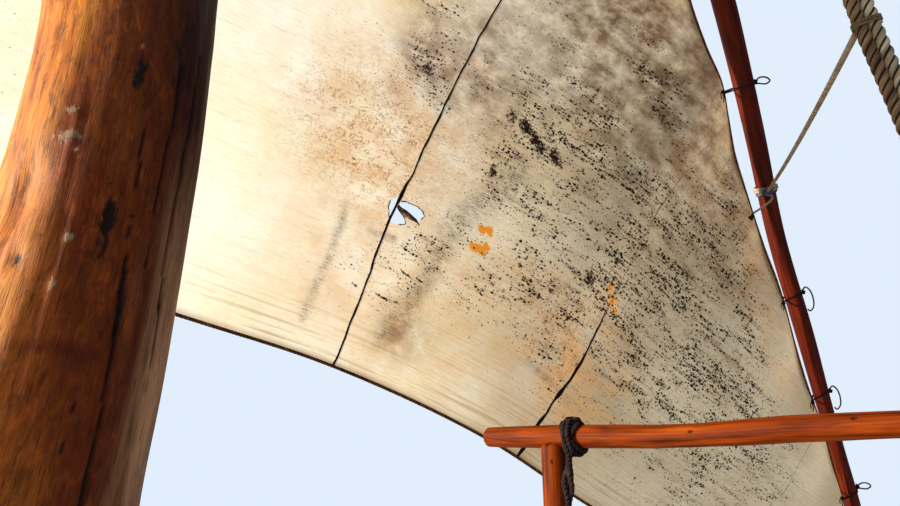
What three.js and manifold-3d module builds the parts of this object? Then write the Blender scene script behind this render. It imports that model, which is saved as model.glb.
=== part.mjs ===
import * as THREE from "three";
import { mergeVertices } from "three/addons/utils/BufferGeometryUtils.js";
import Module from "manifold-3d";

const wasm = await Module();
wasm.setup();

// Lateen sailing rig of a dhow, in millimetres.
// +X is the bow, +Y port and +Z up. The origin is on the underside of the keelson, under the mast.

// Clearances, and the facets of round pieces
const GAP = 0.3;
const SIDES = { mast: 20, spar: 14, rail: 16, pin: 16, chock: 14, halyard: 10 };
const CORD_SIDES = { guy: 8, boltRope: 8, roband: 6 };
const CANVAS_THICKNESS = 4;
const BOLT_ROPE_RADIUS = 8;
const BOLT_ROPE_GAP = 0.4;
const ROBAND = { radius: 5, twist: 0.2 };

// Keelson, mast step and fore beam
const KEELSON = { from: -520, to: 1780, width: 200, height: 120, chamfer: 14 };
const STEP = { from: -240, to: 280, width: 380, height: 100, chamfer: 10 };
const BEAM = { x: 1450, from: -1290, to: 640, width: 150, height: 130, chamfer: 16 };
const BEAM_TOP = KEELSON.height + GAP + BEAM.height;
const HEEL_Z = KEELSON.height + STEP.height + 2 * GAP;
const CHOCK = { length: 150, width: 90, height: 70, reach: 40 };

// Mast: a crooked natural trunk, raked forward. Columns: height, offset forward, offset to port, radius.
const MAST_SECTIONS = [
  [HEEL_Z, 18, 40, 128],
  [900, 79, 76, 127],
  [1450, 127, 98, 125],
  [1744, 153, 89, 118],
  [1864, 163, 63, 110],
  [1949, 171, 51, 104],
  [2042, 179, 42, 98.5],
  [2150, 188, 36, 94.5],
  [2278, 199, 50, 92.5],
  [2372, 208, 72, 95],
  [2750, 241, 84, 94],
  [3500, 306, 56, 90],
  [4700, 411, 20, 84],
  [6000, 525, 0, 78],
  [6950, 608, 0, 74.5],
  [7250, 634, 0, 74.5],
  [7380, 646, 0, 79],
  [7850, 687, 0, 79],
  [7880, 690, 0, 70],
  [7895, 691, 0, 46],
];

// Masthead sheaves for the twin halyard. The pin lies fore and aft.
const PIN = { z: 7640, radius: 11, length: 190 };
const SHEAVE = { reach: 92, rim: 2.5, groove: 76, floor: 8, width: 38, bore: 11.5, spread: 30, sides: 28 };
const SLOT = { width: 46, height: 234, through: 400 };
const HALYARD_RADIUS = 15;
const HALYARD_TURN = 93.5;
const HALYARD_STEPS = 12;
const HALYARD_SPACING = 420;

// Yard: two spars lapped at the mast, on a slightly bent arc in an upright plane.
const YARD_HEEL = new THREE.Vector3(4125, 136, 420);
const YARD_PLAN = new THREE.Vector3(-3330, 80, 0).normalize();
const YARD_LENGTH = 13400;
const YARD_SLOPE = { heel: 65.5, peak: 54 };
const LAP = { from: 6600, to: 8400 };
const SLING_AT = 7500;
// Columns: distance along the yard, crook to port, radius.
const LOWER_SPAR = [
  [0, -20, 30],
  [500, -17, 32],
  [1080, -13, 34],
  [1500, -3, 32.5],
  [1950, 4, 37.5],
  [2400, 16, 37],
  [2900, -7, 41],
  [3460, -21, 47],
  [4500, -10, 53],
  [5600, 8, 58],
  [6600, 6, 60],
  [7500, 0, 58],
  [8400, 4, 48],
];
// Columns: distance along the yard, crook to port, radius, height above the yard's arc.
const UPPER_SPAR = [
  [6600, 6, 58, 119],
  [7500, 0, 60, 119],
  [8400, 4, 58, 108],
  [9400, 20, 54, 66],
  [10600, 6, 46, 24],
  [12000, -20, 36, 4],
  [13400, 0, 26, 0],
];
const WOOLDING = { places: [6720, 7100, 7740, 8240], width: 120, thickness: 11 };
const WRAP_CORNERS = 12;

// Halyard sling with its becket, the ties and the parrel
const SLING = { width: 110, thickness: 16 };
const BECKET = { radius: 34, aside: 96, lift: 60, up: 20, sides: 14, rows: 10 };
const TIE = { apart: 16, drop: 60, reach: 40 };
const PARREL = { beads: 12, bead: 21, slack: 4, rope: 9, firstBead: 0.37, sides: 9, rows: 7, ropeSteps: 31 };
const PARREL_CHOCK = { from: 20, to: 30, seat: 0.9 };

// Sail. The foot runs from the tack at the yard's heel to the clew.
const FOOT_POINTS = [
  [3100, 425, 1060],
  [2296, 708, 1481],
  [1829, 840, 1744],
  [1273, 987, 1970],
  [810, 1101, 2097],
  [-600, 1380, 2450],
  [-2400, 1640, 2850],
  [-4100, 1850, 3250],
];
const LUFF = { from: 280, to: 13050 };
const LUFF_AFT = { near: 50, far: 100, from: 500, over: 2000 };
const LUFF_PORT = { near: 4, far: 76, from: 1200, over: 2300, back: 9000, peak: 12 };
// Seams between the cloths. Columns: fraction of the foot, fraction of the luff, belly at mid length.
const SEAMS = [
  [0, 0, 0],
  [0.14, 0.0935, 9],
  [0.268, 0.21, 25],
  [0.3605, 0.3132, 144],
  [0.465, 0.4151, 221],
  [0.61, 0.565, 300],
  [0.74, 0.7, 320],
  [0.87, 0.85, 260],
  [1, 1, 120],
];
const TACK_CORNER = 0.03;
const CORNER_ROPE = 0.006;
const SHARE_STEP = 0.004;
const INSET_REACH = 0.02;
const CLOTH_COLUMNS = 4;
const CLOTH_ROWS = 16;
// Outline of the torn hole beside the third seam: shares of the foot and of the way up to the luff.
const TEAR = [
  [0.3633, 0.2477],
  [0.361, 0.2559],
  [0.3549, 0.2607],
  [0.3489, 0.26],
  [0.35, 0.2495],
  [0.3553, 0.2456],
  [0.3557, 0.2307],
  [0.3591, 0.2209],
  [0.3621, 0.2292],
];
const TEAR_CLOTHS = [3, 4];
const TEAR_DEPTH = 40;
const ROBANDS = { from: 680, to: 12900, step: 481, clear: 60 };
const CORNER_LASHING = { width: 80, thickness: 10, belowTack: 90, abovePeak: 140 };
const CRINGLE = { radius: 32, thickness: 7, out: 44.4, sides: 10, steps: 24 };

// Guy from a hitch on the yard to a seizing on the aft fall
const GUY_AT = 2620;
const GUY = { radius: 7, sag: 14, clear: 3.5, stations: [0, 0.25, 0.5, 0.75, 1] };
const HITCH = { width: 46, thickness: 11, knot: 19, knotOut: 14, sides: 12, rows: 8 };
const SEIZING = { z: 2530, width: 24, thickness: 4, reach: 200 };

// Rail on its two posts. Columns: distance to port, height, radius.
const RAIL_SECTIONS = [
  [545, 1762, 17],
  [530, 1763, 24],
  [500, 1765, 26.5],
  [400, 1768, 28],
  [266, 1773, 29],
  [54, 1779, 27],
  [-91, 1787, 26],
  [-207, 1797, 27.5],
  [-331, 1808, 27],
  [-477, 1817, 25.5],
  [-1120, 1846, 26],
  [-1240, 1850, 25],
];
const POSTS = [
  { name: "inner", y: 293, foot: 288, lash: -1, radius: 36 },
  { name: "outer", y: -1130, foot: -1126, lash: 1, radius: 35 },
];
const POST_SEAT = 12;
// Columns: height, swell of the radius.
const POST_SHAPE = [
  [BEAM_TOP + GAP, 8],
  [700, 3],
  [1500, -3],
];
const LASHING = { width: 44, thickness: 12, drop: 330, aside: 48, sides: 18 };
const WOUND = { height: 64, thickness: 15, sides: 20 };
// Hank under the rail: radii, knee below the rail, and how far it lies off the rail and the post.
const HANK = { top: 14, knee: 15, kneeDrop: 90, topOut: 4, kneeIn: 8, footAside: 12, sides: 12 };

// Halyard falls: from the masthead down to the fore beam. Columns: forward, to port, up.
const FALL_POINTS = [
  [760, -155, 6300],
  [930, -250, 4900],
  [1100, -375, 3700],
  [1247, -525, 2586],
  [1280, -570, 2350],
  [1400, -800, 1150],
];
const FALL_END = { x: 1455, y: -925, z: BEAM_TOP + 8 };
// Offset of the fore fall from the aft one, by height.
const FALL_SPREAD = [
  [7640, 60, 0],
  [6300, 40, -8],
  [4900, 30, -16],
  [3700, 20, -24],
  [2586, 10, -30],
  [2350, 9, -31],
  [1150, 4, -40],
  [0, 2, -62],
];
const BELAY = { width: 46, thickness: 26, clear: 3000 };

const WOODS = {
  mast: new THREE.MeshStandardMaterial({ color: 0xa8622c, roughness: 0.62, metalness: 0 }),
  spar: new THREE.MeshStandardMaterial({ color: 0x5a2313, roughness: 0.45, metalness: 0 }),
  rail: new THREE.MeshStandardMaterial({ color: 0xb9641f, roughness: 0.42, metalness: 0 }),
  timber: new THREE.MeshStandardMaterial({ color: 0x7b5232, roughness: 0.75, metalness: 0 }),
  sheave: new THREE.MeshStandardMaterial({ color: 0x4c3222, roughness: 0.55, metalness: 0 }),
};
const IRON = new THREE.MeshStandardMaterial({ color: 0x4b4744, roughness: 0.6, metalness: 0.8 });
const CANVAS = new THREE.MeshStandardMaterial({ color: 0xd9c9a3, roughness: 0.9, metalness: 0 });
const ROPES = {
  manila: new THREE.MeshStandardMaterial({ color: 0x8b7f6a, roughness: 0.9, metalness: 0 }),
  bolt: new THREE.MeshStandardMaterial({ color: 0x8a6636, roughness: 0.9, metalness: 0 }),
  tarred: new THREE.MeshStandardMaterial({ color: 0x241c1c, roughness: 0.85, metalness: 0 }),
  white: new THREE.MeshStandardMaterial({ color: 0xb8b0a4, roughness: 0.85, metalness: 0 }),
};

const rig = new THREE.Group();
const UP = new THREE.Vector3(0, 0, 1);

function point(x, y, z) {
  return new THREE.Vector3(x, y, z);
}

function addPart(name, geometry, material) {
  geometry.computeVertexNormals();
  const mesh = new THREE.Mesh(geometry, material);
  mesh.name = name;
  rig.add(mesh);
  return mesh;
}

// Linear value of one column of a table whose first column rises or falls.
function lookUp(table, key, column) {
  const rising = table[table.length - 1][0] > table[0][0];
  const rows = rising ? table : [...table].reverse();
  let row = 1;
  while (row < rows.length - 1 && rows[row][0] < key) row += 1;
  const [low, high] = [rows[row - 1], rows[row]];
  const share = THREE.MathUtils.clamp((key - low[0]) / (high[0] - low[0]), 0, 1);
  return low[column] + share * (high[column] - low[column]);
}

// Smooth value of one column of a table whose first column rises.
function smoothAt(table, key, column) {
  let row = 1;
  while (row < table.length - 1 && table[row][0] < key) row += 1;
  const slopeAt = (n) => {
    const [a, b] = [table[Math.max(n - 1, 0)], table[Math.min(n + 1, table.length - 1)]];
    return (b[column] - a[column]) / (b[0] - a[0]);
  };
  const [low, high] = [table[row - 1], table[row]];
  const span = high[0] - low[0];
  const t = THREE.MathUtils.clamp((key - low[0]) / span, 0, 1);
  const rise = high[column] - low[column];
  const bend = t * (1 - t) * ((1 - t) * (slopeAt(row - 1) * span - rise) - t * (slopeAt(row) * span - rise));
  return low[column] + rise * t + bend;
}

// Closed surface from rings of points. Its ends are joined in a loop, or capped by a fan or a strip.
function skinRings(rings, ends = "fan") {
  const sides = rings[0].length;
  const positions = [];
  const indices = [];
  for (const ring of rings) for (const p of ring) positions.push(p.x, p.y, p.z);
  const spans = ends === "loop" ? rings.length : rings.length - 1;
  for (let row = 0; row < spans; row += 1) {
    const next = (row + 1) % rings.length;
    for (let side = 0; side < sides; side += 1) {
      const across = (side + 1) % sides;
      const [a, b] = [row * sides + side, row * sides + across];
      const [c, d] = [next * sides + across, next * sides + side];
      indices.push(a, b, c, a, c, d);
    }
  }
  if (ends === "strip") {
    for (const row of [0, rings.length - 1]) {
      for (let n = 0; n < sides / 2 - 1; n += 1) {
        const [a, b] = [row * sides + n, row * sides + n + 1];
        const [c, d] = [row * sides + sides - 2 - n, row * sides + sides - 1 - n];
        if (row === 0) indices.push(b, a, d, b, d, c);
        else indices.push(a, b, d, d, b, c);
      }
    }
  }
  if (ends === "fan") {
    for (const row of [0, rings.length - 1]) {
      const centre = new THREE.Vector3();
      for (const p of rings[row]) centre.addScaledVector(p, 1 / sides);
      const middle = positions.length / 3;
      positions.push(centre.x, centre.y, centre.z);
      for (let side = 0; side < sides; side += 1) {
        const [a, b] = [row * sides + side, row * sides + ((side + 1) % sides)];
        if (row === 0) indices.push(middle, b, a);
        else indices.push(middle, a, b);
      }
    }
  }
  const geometry = new THREE.BufferGeometry();
  geometry.setAttribute("position", new THREE.Float32BufferAttribute(positions, 3));
  geometry.setIndex(indices);
  return facingOut(geometry);
}

function facingOut(geometry) {
  const place = geometry.attributes.position;
  const index = geometry.index.array;
  const corner = [point(0, 0, 0), point(0, 0, 0), point(0, 0, 0)];
  let volume = 0;
  for (let i = 0; i < index.length; i += 3) {
    corner.forEach((p, k) => p.fromBufferAttribute(place, index[i + k]));
    volume += corner[0].dot(corner[1].cross(corner[2]));
  }
  if (volume < 0) {
    for (let i = 0; i < index.length; i += 3) {
      const first = index[i];
      index[i] = index[i + 1];
      index[i + 1] = first;
    }
  }
  return geometry;
}

// Round pole through stations { at, radius, facing }; facing is the plane of a cut end.
function poleGeometry(stations, sides, { grow = 0 } = {}) {
  const count = stations.length;
  const whole = stations[Math.floor(count / 2)].at.clone().sub(stations[0].at).normalize();
  const axes = [point(1, 0, 0), point(0, 1, 0), point(0, 0, 1)];
  axes.sort((a, b) => Math.abs(a.dot(whole)) - Math.abs(b.dot(whole)));
  const rings = stations.map(({ at, radius, facing }, row) => {
    const before = stations[Math.max(row - 1, 0)].at;
    const after = stations[Math.min(row + 1, count - 1)].at;
    const way = after.clone().sub(before).normalize();
    const along = facing ? facing.clone().multiplyScalar(Math.sign(facing.dot(way))) : way;
    const across = point(0, 0, 0).crossVectors(along, axes[0]).normalize();
    const up = point(0, 0, 0).crossVectors(along, across);
    return Array.from({ length: sides }, (_, side) => {
      const turn = (2 * Math.PI * side) / sides;
      return at
        .clone()
        .addScaledVector(across, (radius + grow) * Math.cos(turn))
        .addScaledVector(up, (radius + grow) * Math.sin(turn));
    });
  });
  return skinRings(rings);
}

// Ring of rope in the plane across the normal.
function flatLoopGeometry(points, radius, sides, normal, twist = 0) {
  const count = points.length;
  const rings = points.map((at, row) => {
    const before = points[(row + count - 1) % count];
    const after = points[(row + 1) % count];
    const along = after.clone().sub(before).normalize();
    const out = point(0, 0, 0).crossVectors(along, normal).normalize();
    return Array.from({ length: sides }, (_, side) => {
      const turn = (2 * Math.PI * side) / sides + twist;
      return at
        .clone()
        .addScaledVector(out, radius * Math.cos(turn))
        .addScaledVector(normal, radius * Math.sin(turn));
    });
  });
  return skinRings(rings, "loop");
}

function boxGeometry(length, width, height, x, y, z) {
  return new THREE.BoxGeometry(length, width, height).translate(x, y, z);
}

// Timber with chamfered edges, lying along X from its two ends, its underside at the height given.
function timberGeometry({ from, to, width, height, chamfer }, underside) {
  const half = width / 2;
  const outline = new THREE.Shape();
  outline.moveTo(-half + chamfer, 0);
  outline.lineTo(half - chamfer, 0);
  outline.lineTo(half, chamfer);
  outline.lineTo(half, height - chamfer);
  outline.lineTo(half - chamfer, height);
  outline.lineTo(-half + chamfer, height);
  outline.lineTo(-half, height - chamfer);
  outline.lineTo(-half, chamfer);
  outline.closePath();
  const geometry = new THREE.ExtrudeGeometry(outline, { depth: to - from, bevelEnabled: false });
  return geometry.rotateX(Math.PI / 2).rotateZ(Math.PI / 2).translate(from, 0, underside);
}

function solidOf(geometry) {
  const bare = geometry.clone();
  bare.deleteAttribute("normal");
  bare.deleteAttribute("uv");
  const merged = mergeVertices(bare, 1e-3);
  const mesh = new wasm.Mesh({
    numProp: 3,
    vertProperties: new Float32Array(merged.attributes.position.array),
    triVerts: new Uint32Array(merged.index.array),
  });
  return new wasm.Manifold(mesh);
}

function geometryOf(solid) {
  const mesh = solid.getMesh();
  const geometry = new THREE.BufferGeometry();
  geometry.setAttribute("position", new THREE.BufferAttribute(mesh.vertProperties, 3));
  geometry.setIndex(new THREE.BufferAttribute(mesh.triVerts, 1));
  return geometry;
}

// Keelson, step and beam
const beamGeometry = timberGeometry(BEAM, KEELSON.height + GAP);

function buildBase() {
  addPart("keelson", timberGeometry(KEELSON, 0), WOODS.timber);
  addPart("mast_step", timberGeometry(STEP, KEELSON.height + GAP), WOODS.timber);
  addPart("fore_beam", beamGeometry.rotateZ(Math.PI / 2).translate(BEAM.x, 0, 0), WOODS.timber);
}

// Mast
function mastStations() {
  return MAST_SECTIONS.map(([z, x, y, radius], row) => {
    const cut = row === 0 || row === MAST_SECTIONS.length - 1;
    return { at: point(x, y, z), radius, facing: cut ? UP : undefined };
  });
}

function mastAxisAt(z) {
  return point(lookUp(MAST_SECTIONS, z, 1), lookUp(MAST_SECTIONS, z, 2), z);
}

function buildMast() {
  const head = mastAxisAt(PIN.z);
  let trunk = solidOf(poleGeometry(mastStations(), SIDES.mast));
  for (const side of [-1, 1]) {
    const x = head.x + side * SHEAVE.spread;
    trunk = trunk.subtract(solidOf(boxGeometry(SLOT.width, SLOT.through, SLOT.height, x, head.y, PIN.z)));
  }
  const bore = PIN.radius + GAP;
  const hole = new THREE.CylinderGeometry(bore, bore, SLOT.through, SIDES.pin);
  trunk = trunk.subtract(solidOf(hole.rotateZ(Math.PI / 2).translate(head.x, head.y, PIN.z)));
  addPart("mast", geometryOf(trunk), WOODS.mast);

  const pin = new THREE.CylinderGeometry(PIN.radius, PIN.radius, PIN.length, SIDES.pin);
  addPart("masthead_pin", pin.rotateZ(Math.PI / 2).translate(head.x, head.y, PIN.z), IRON);

  const cleared = solidOf(poleGeometry(mastStations(), SIDES.mast, { grow: GAP }));
  const heel = mastAxisAt(HEEL_Z);
  const chockZ = HEEL_Z + CHOCK.height / 2;
  for (let n = 0; n < 4; n += 1) {
    const turn = (n * Math.PI) / 2;
    const reach = MAST_SECTIONS[0][3] + CHOCK.reach - CHOCK.width / 2;
    const block = new THREE.BoxGeometry(CHOCK.width, CHOCK.length, CHOCK.height);
    block.translate(reach, 0, 0).rotateZ(turn).translate(heel.x, heel.y, chockZ);
    addPart(`mast_chock_${n + 1}`, geometryOf(solidOf(block).subtract(cleared)), WOODS.timber);
  }
}

// Sheaves
function buildSheaves() {
  const head = mastAxisAt(PIN.z);
  const half = SHEAVE.width / 2;
  const profile = [
    [SHEAVE.bore, -half],
    [SHEAVE.reach, -half],
    [SHEAVE.reach, -half + SHEAVE.rim],
    [SHEAVE.groove, -SHEAVE.floor],
    [SHEAVE.groove, SHEAVE.floor],
    [SHEAVE.reach, half - SHEAVE.rim],
    [SHEAVE.reach, half],
    [SHEAVE.bore, half],
    [SHEAVE.bore, -half],
  ];
  const outline = profile.map(([r, h]) => new THREE.Vector2(r, h));
  for (const [name, side] of [["fore", 1], ["aft", -1]]) {
    const wheel = new THREE.LatheGeometry(outline, SHEAVE.sides).rotateZ(Math.PI / 2);
    wheel.translate(head.x + side * SHEAVE.spread, head.y, PIN.z);
    addPart(`sheave_${name}`, geometryOf(solidOf(wheel)), WOODS.sheave);
  }
}

// Yard
function yardFrame(distance) {
  const { heel, peak } = YARD_SLOPE;
  const steps = 60;
  const at = YARD_HEEL.clone();
  const slopeAt = (s) => THREE.MathUtils.degToRad(heel + ((peak - heel) * s) / YARD_LENGTH);
  for (let n = 0; n < steps; n += 1) {
    const slope = slopeAt(((n + 0.5) * distance) / steps);
    at.addScaledVector(YARD_PLAN, (Math.cos(slope) * distance) / steps);
    at.z += (Math.sin(slope) * distance) / steps;
  }
  const slope = slopeAt(distance);
  const along = YARD_PLAN.clone().multiplyScalar(Math.cos(slope)).addScaledVector(UP, Math.sin(slope));
  const aft = YARD_PLAN.clone().multiplyScalar(Math.sin(slope)).addScaledVector(UP, -Math.cos(slope));
  const port = point(YARD_PLAN.y, -YARD_PLAN.x, 0);
  return { at, along, aft, port };
}

function sparStations(table) {
  return table.map(([distance, crook, radius, lift = 0]) => {
    const frame = yardFrame(distance);
    const at = frame.at.clone().addScaledVector(frame.port, crook).addScaledVector(frame.aft, -lift);
    return { at, radius, distance };
  });
}

const lowerStations = sparStations(LOWER_SPAR);
const upperStations = sparStations(UPPER_SPAR);

// Place and radius of a spar's straight run at a distance along the yard.
function sparAt(stations, distance) {
  let row = 1;
  while (row < stations.length - 1 && stations[row].distance < distance) row += 1;
  const [low, high] = [stations[row - 1], stations[row]];
  const share = (distance - low.distance) / (high.distance - low.distance);
  const at = low.at.clone().lerp(high.at, share);
  return { at, radius: low.radius + share * (high.radius - low.radius) };
}

function sparsAt(distance) {
  const found = [];
  if (distance < LAP.to) found.push(sparAt(lowerStations, distance));
  if (distance > LAP.from) found.push(sparAt(upperStations, distance));
  return found;
}

// Corners of the tightest loop around circles in a plane. Each circle has at, a vector, and radius.
function tightLoop(circles, across, up) {
  const dots = [];
  for (const { at, radius } of circles) {
    const reach = radius / Math.cos(Math.PI / WRAP_CORNERS);
    for (let n = 0; n < (radius > 0 ? WRAP_CORNERS : 1); n += 1) {
      const turn = (2 * Math.PI * (n + 0.5)) / WRAP_CORNERS;
      dots.push([at.dot(across) + reach * Math.cos(turn), at.dot(up) + reach * Math.sin(turn)]);
    }
  }
  dots.sort((a, b) => a[0] - b[0] || a[1] - b[1]);
  const turnOf = (o, a, b) => (a[0] - o[0]) * (b[1] - o[1]) - (a[1] - o[1]) * (b[0] - o[0]);
  const chain = (list) => {
    const kept = [];
    for (const dot of list) {
      while (kept.length > 1 && turnOf(kept[kept.length - 2], kept[kept.length - 1], dot) <= 1e-6) kept.pop();
      kept.push(dot);
    }
    return kept.slice(0, -1);
  };
  return [...chain(dots), ...chain([...dots].reverse())];
}

// Band of rope turns round poles. The frame has at, along, aft and port.
function wrapSolid(circles, frame, width, thickness) {
  const grown = circles.map(({ at, radius }) => ({ at, radius: radius + thickness }));
  const loop = tightLoop(grown, frame.aft, frame.port);
  const level = frame.at.dot(frame.along);
  const rings = [-width / 2, width / 2].map((shift) =>
    loop.map(([across, up]) =>
      point(0, 0, 0)
        .addScaledVector(frame.aft, across)
        .addScaledVector(frame.port, up)
        .addScaledVector(frame.along, level + shift),
    ),
  );
  return solidOf(skinRings(rings));
}

// Band of rope turns round the spars at one place, bored to clear them.
function bandSolid(distance, width, thickness) {
  return boreForSpars(wrapSolid(sparsAt(distance), yardFrame(distance), width, thickness));
}

const clearedSpars = [lowerStations, upperStations].map((stations) =>
  solidOf(poleGeometry(stations, SIDES.spar, { grow: GAP })),
);

function boreForSpars(solid) {
  return clearedSpars.reduce((left, spar) => left.subtract(spar), solid);
}

function buildYard() {
  addPart("yard_lower", poleGeometry(lowerStations, SIDES.spar), WOODS.spar);
  addPart("yard_upper", poleGeometry(upperStations, SIDES.spar), WOODS.spar);
  WOOLDING.places.forEach((distance, n) => {
    const band = bandSolid(distance, WOOLDING.width, WOOLDING.thickness);
    addPart(`yard_woolding_${n + 1}`, geometryOf(band), ROPES.tarred);
  });
}

// Halyard sling, with the becket that the two ties are made fast to
const slingFrame = yardFrame(SLING_AT);
const becketAt = slingFrame.at
  .clone()
  .addScaledVector(slingFrame.port, -BECKET.aside)
  .addScaledVector(slingFrame.aft, -BECKET.lift)
  .addScaledVector(slingFrame.along, BECKET.up);

function buildSling() {
  const knot = new THREE.SphereGeometry(BECKET.radius, BECKET.sides, BECKET.rows);
  knot.translate(becketAt.x, becketAt.y, becketAt.z);
  const sling = bandSolid(SLING_AT, SLING.width, SLING.thickness).add(boreForSpars(solidOf(knot)));
  addPart("halyard_sling", geometryOf(sling), ROPES.manila);
}

// Parrel: beads on a rope round the mast, with a chock that bears on the sling
function buildParrel() {
  const { at, port } = slingFrame;
  const centre = mastAxisAt(at.z);
  const rake = mastAxisAt(at.z + 50).sub(mastAxisAt(at.z - 50)).normalize();
  const reach = lookUp(MAST_SECTIONS, at.z, 3) + PARREL.slack + PARREL.bead;
  const turnUp = new THREE.Quaternion().setFromUnitVectors(UP, rake);
  const rope = new THREE.TorusGeometry(reach, PARREL.rope, PARREL.rows, PARREL.ropeSteps);
  let parrel = solidOf(rope.applyQuaternion(turnUp));
  for (let n = 0; n < PARREL.beads; n += 1) {
    const turn = (2 * Math.PI * (n + PARREL.firstBead)) / PARREL.beads;
    const bead = new THREE.SphereGeometry(PARREL.bead, PARREL.sides, PARREL.rows).rotateZ(turn);
    bead.translate(reach * Math.cos(turn), reach * Math.sin(turn), 0).applyQuaternion(turnUp);
    parrel = parrel.add(solidOf(bead));
  }
  const face = lookUp(LOWER_SPAR, SLING_AT, 2) + SLING.thickness + GAP + PARREL_CHOCK.seat;
  const chockEnd = at.clone().addScaledVector(port, -face).sub(centre);
  const chockStart = chockEnd.clone().setLength(reach);
  const chock = poleGeometry(
    [
      { at: chockStart, radius: PARREL_CHOCK.from, facing: port },
      { at: chockEnd, radius: PARREL_CHOCK.to, facing: port },
    ],
    SIDES.chock,
  );
  parrel = parrel.add(solidOf(chock));
  const geometry = geometryOf(parrel).translate(centre.x, centre.y, centre.z);
  addPart("parrel", geometry, WOODS.sheave);
}

// Sail
function luffPoint(fraction) {
  const distance = LUFF.from + fraction * (LUFF.to - LUFF.from);
  const frame = yardFrame(distance);
  const share = (from, over) => THREE.MathUtils.clamp((distance - from) / over, 0, 1);
  const aft = THREE.MathUtils.lerp(LUFF_AFT.near, LUFF_AFT.far, share(LUFF_AFT.from, LUFF_AFT.over));
  const out = THREE.MathUtils.lerp(LUFF_PORT.near, LUFF_PORT.far, share(LUFF_PORT.from, LUFF_PORT.over));
  const port = THREE.MathUtils.lerp(out, LUFF_PORT.peak, share(LUFF_PORT.back, LUFF.to - LUFF_PORT.back));
  return frame.at.addScaledVector(frame.aft, aft).addScaledVector(frame.port, port);
}

const tack = luffPoint(0);
const footCurve = new THREE.CatmullRomCurve3([tack, ...FOOT_POINTS.map(([x, y, z]) => point(x, y, z))]);

function sailPoint(foot, rise) {
  const low = footCurve.getPointAt(foot);
  const high = luffPoint(smoothAt(SEAMS, foot, 1));
  const belly = 4 * rise * (1 - rise) * smoothAt(SEAMS, foot, 2);
  return low.lerp(high, rise).add(point(0, belly, 0));
}

function sailNormal(foot, rise) {
  const step = SHARE_STEP;
  const [a, b] = [Math.max(foot - step, 0), Math.min(foot + step, 1)];
  const across = sailPoint(b, rise).sub(sailPoint(a, rise));
  const up = sailPoint(foot, Math.min(rise + step, 1)).sub(sailPoint(foot, Math.max(rise - step, 0)));
  return across.cross(up).normalize();
}

// How far in from a bolt rope the canvas starts, as a share of the seam's length.
function seamInset(foot, rise) {
  const [a, b] = [Math.max(foot - SHARE_STEP, 0), Math.min(foot + SHARE_STEP, 1)];
  const rope = sailPoint(b, rise).sub(sailPoint(a, rise)).normalize();
  const length = sailPoint(foot, 1).sub(sailPoint(foot, 0)).length();
  const inward = rise === 0 ? INSET_REACH : -INSET_REACH;
  const seam = sailPoint(foot, rise + inward).sub(sailPoint(foot, rise)).normalize();
  return (BOLT_ROPE_RADIUS + BOLT_ROPE_GAP) / seam.cross(rope).length() / length;
}

function clothColumns(cloth) {
  const start = cloth === 1 ? TACK_CORNER : SEAMS[cloth - 1][0];
  const end = SEAMS[cloth][0];
  const width = footCurve.getLength();
  const first = start + (cloth === 1 ? 0 : GAP / 2 / width);
  const leech = (BOLT_ROPE_RADIUS + BOLT_ROPE_GAP) / width;
  const last = end - (cloth === SEAMS.length - 1 ? leech : GAP / 2 / width);
  return Array.from({ length: CLOTH_COLUMNS + 1 }, (_, n) => first + ((last - first) * n) / CLOTH_COLUMNS);
}

function clothRises(foot) {
  const low = seamInset(foot, 0);
  const high = 1 - seamInset(foot, 1);
  return Array.from({ length: CLOTH_ROWS + 1 }, (_, n) => low + ((high - low) * n) / CLOTH_ROWS);
}

function clothGeometry(columns) {
  const rings = columns.map((foot) => {
    const faces = { front: [], back: [] };
    for (const rise of clothRises(foot)) {
      const at = sailPoint(foot, rise);
      const normal = sailNormal(foot, rise);
      faces.front.push(at.clone().addScaledVector(normal, CANVAS_THICKNESS / 2));
      faces.back.push(at.clone().addScaledVector(normal, -CANVAS_THICKNESS / 2));
    }
    return [...faces.front, ...faces.back.reverse()];
  });
  return skinRings(rings, "strip");
}

function tearSolid() {
  const rings = [-TEAR_DEPTH, TEAR_DEPTH].map((shift) =>
    TEAR.map(([foot, rise]) => sailPoint(foot, rise).addScaledVector(sailNormal(foot, rise), shift)),
  );
  return solidOf(skinRings(rings));
}

function buildSail() {
  for (let cloth = 1; cloth < SEAMS.length; cloth += 1) {
    let geometry = clothGeometry(clothColumns(cloth));
    if (TEAR_CLOTHS.includes(cloth)) geometry = geometryOf(solidOf(geometry).subtract(tearSolid()));
    addPart(`sail_cloth_${cloth}`, geometry, CANVAS);
  }
}

// Bolt ropes along the luff, foot and leech; robands lace the luff's to the yard
function ropeShares() {
  const along = [CORNER_ROPE];
  for (let cloth = 1; cloth < SEAMS.length; cloth += 1) along.push(...clothColumns(cloth));
  return along;
}

function boltRope(points) {
  return poleGeometry(points.map((at) => ({ at, radius: BOLT_ROPE_RADIUS })), CORD_SIDES.boltRope);
}

function robandSolid(distance, stations) {
  const frame = yardFrame(distance);
  const level = frame.at.dot(frame.along);
  let row = 1;
  while (row < stations.length - 1 && stations[row].at.dot(frame.along) < level) row += 1;
  const [low, high] = [stations[row - 1].at, stations[row].at];
  const share = (level - low.dot(frame.along)) / (high.dot(frame.along) - low.dot(frame.along));
  const rope = low.clone().lerp(high, share);
  const circles = sparsAt(distance).map(({ at, radius }) => ({ at, radius: radius + GAP + ROBAND.radius }));
  const loop = tightLoop([...circles, { at: rope, radius: 0 }], frame.aft, frame.port);
  const points = loop.map(([across, up]) =>
    point(0, 0, 0)
      .addScaledVector(frame.aft, across)
      .addScaledVector(frame.port, up)
      .addScaledVector(frame.along, level),
  );
  return solidOf(flatLoopGeometry(points, ROBAND.radius, CORD_SIDES.roband, frame.along, ROBAND.twist));
}

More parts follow.
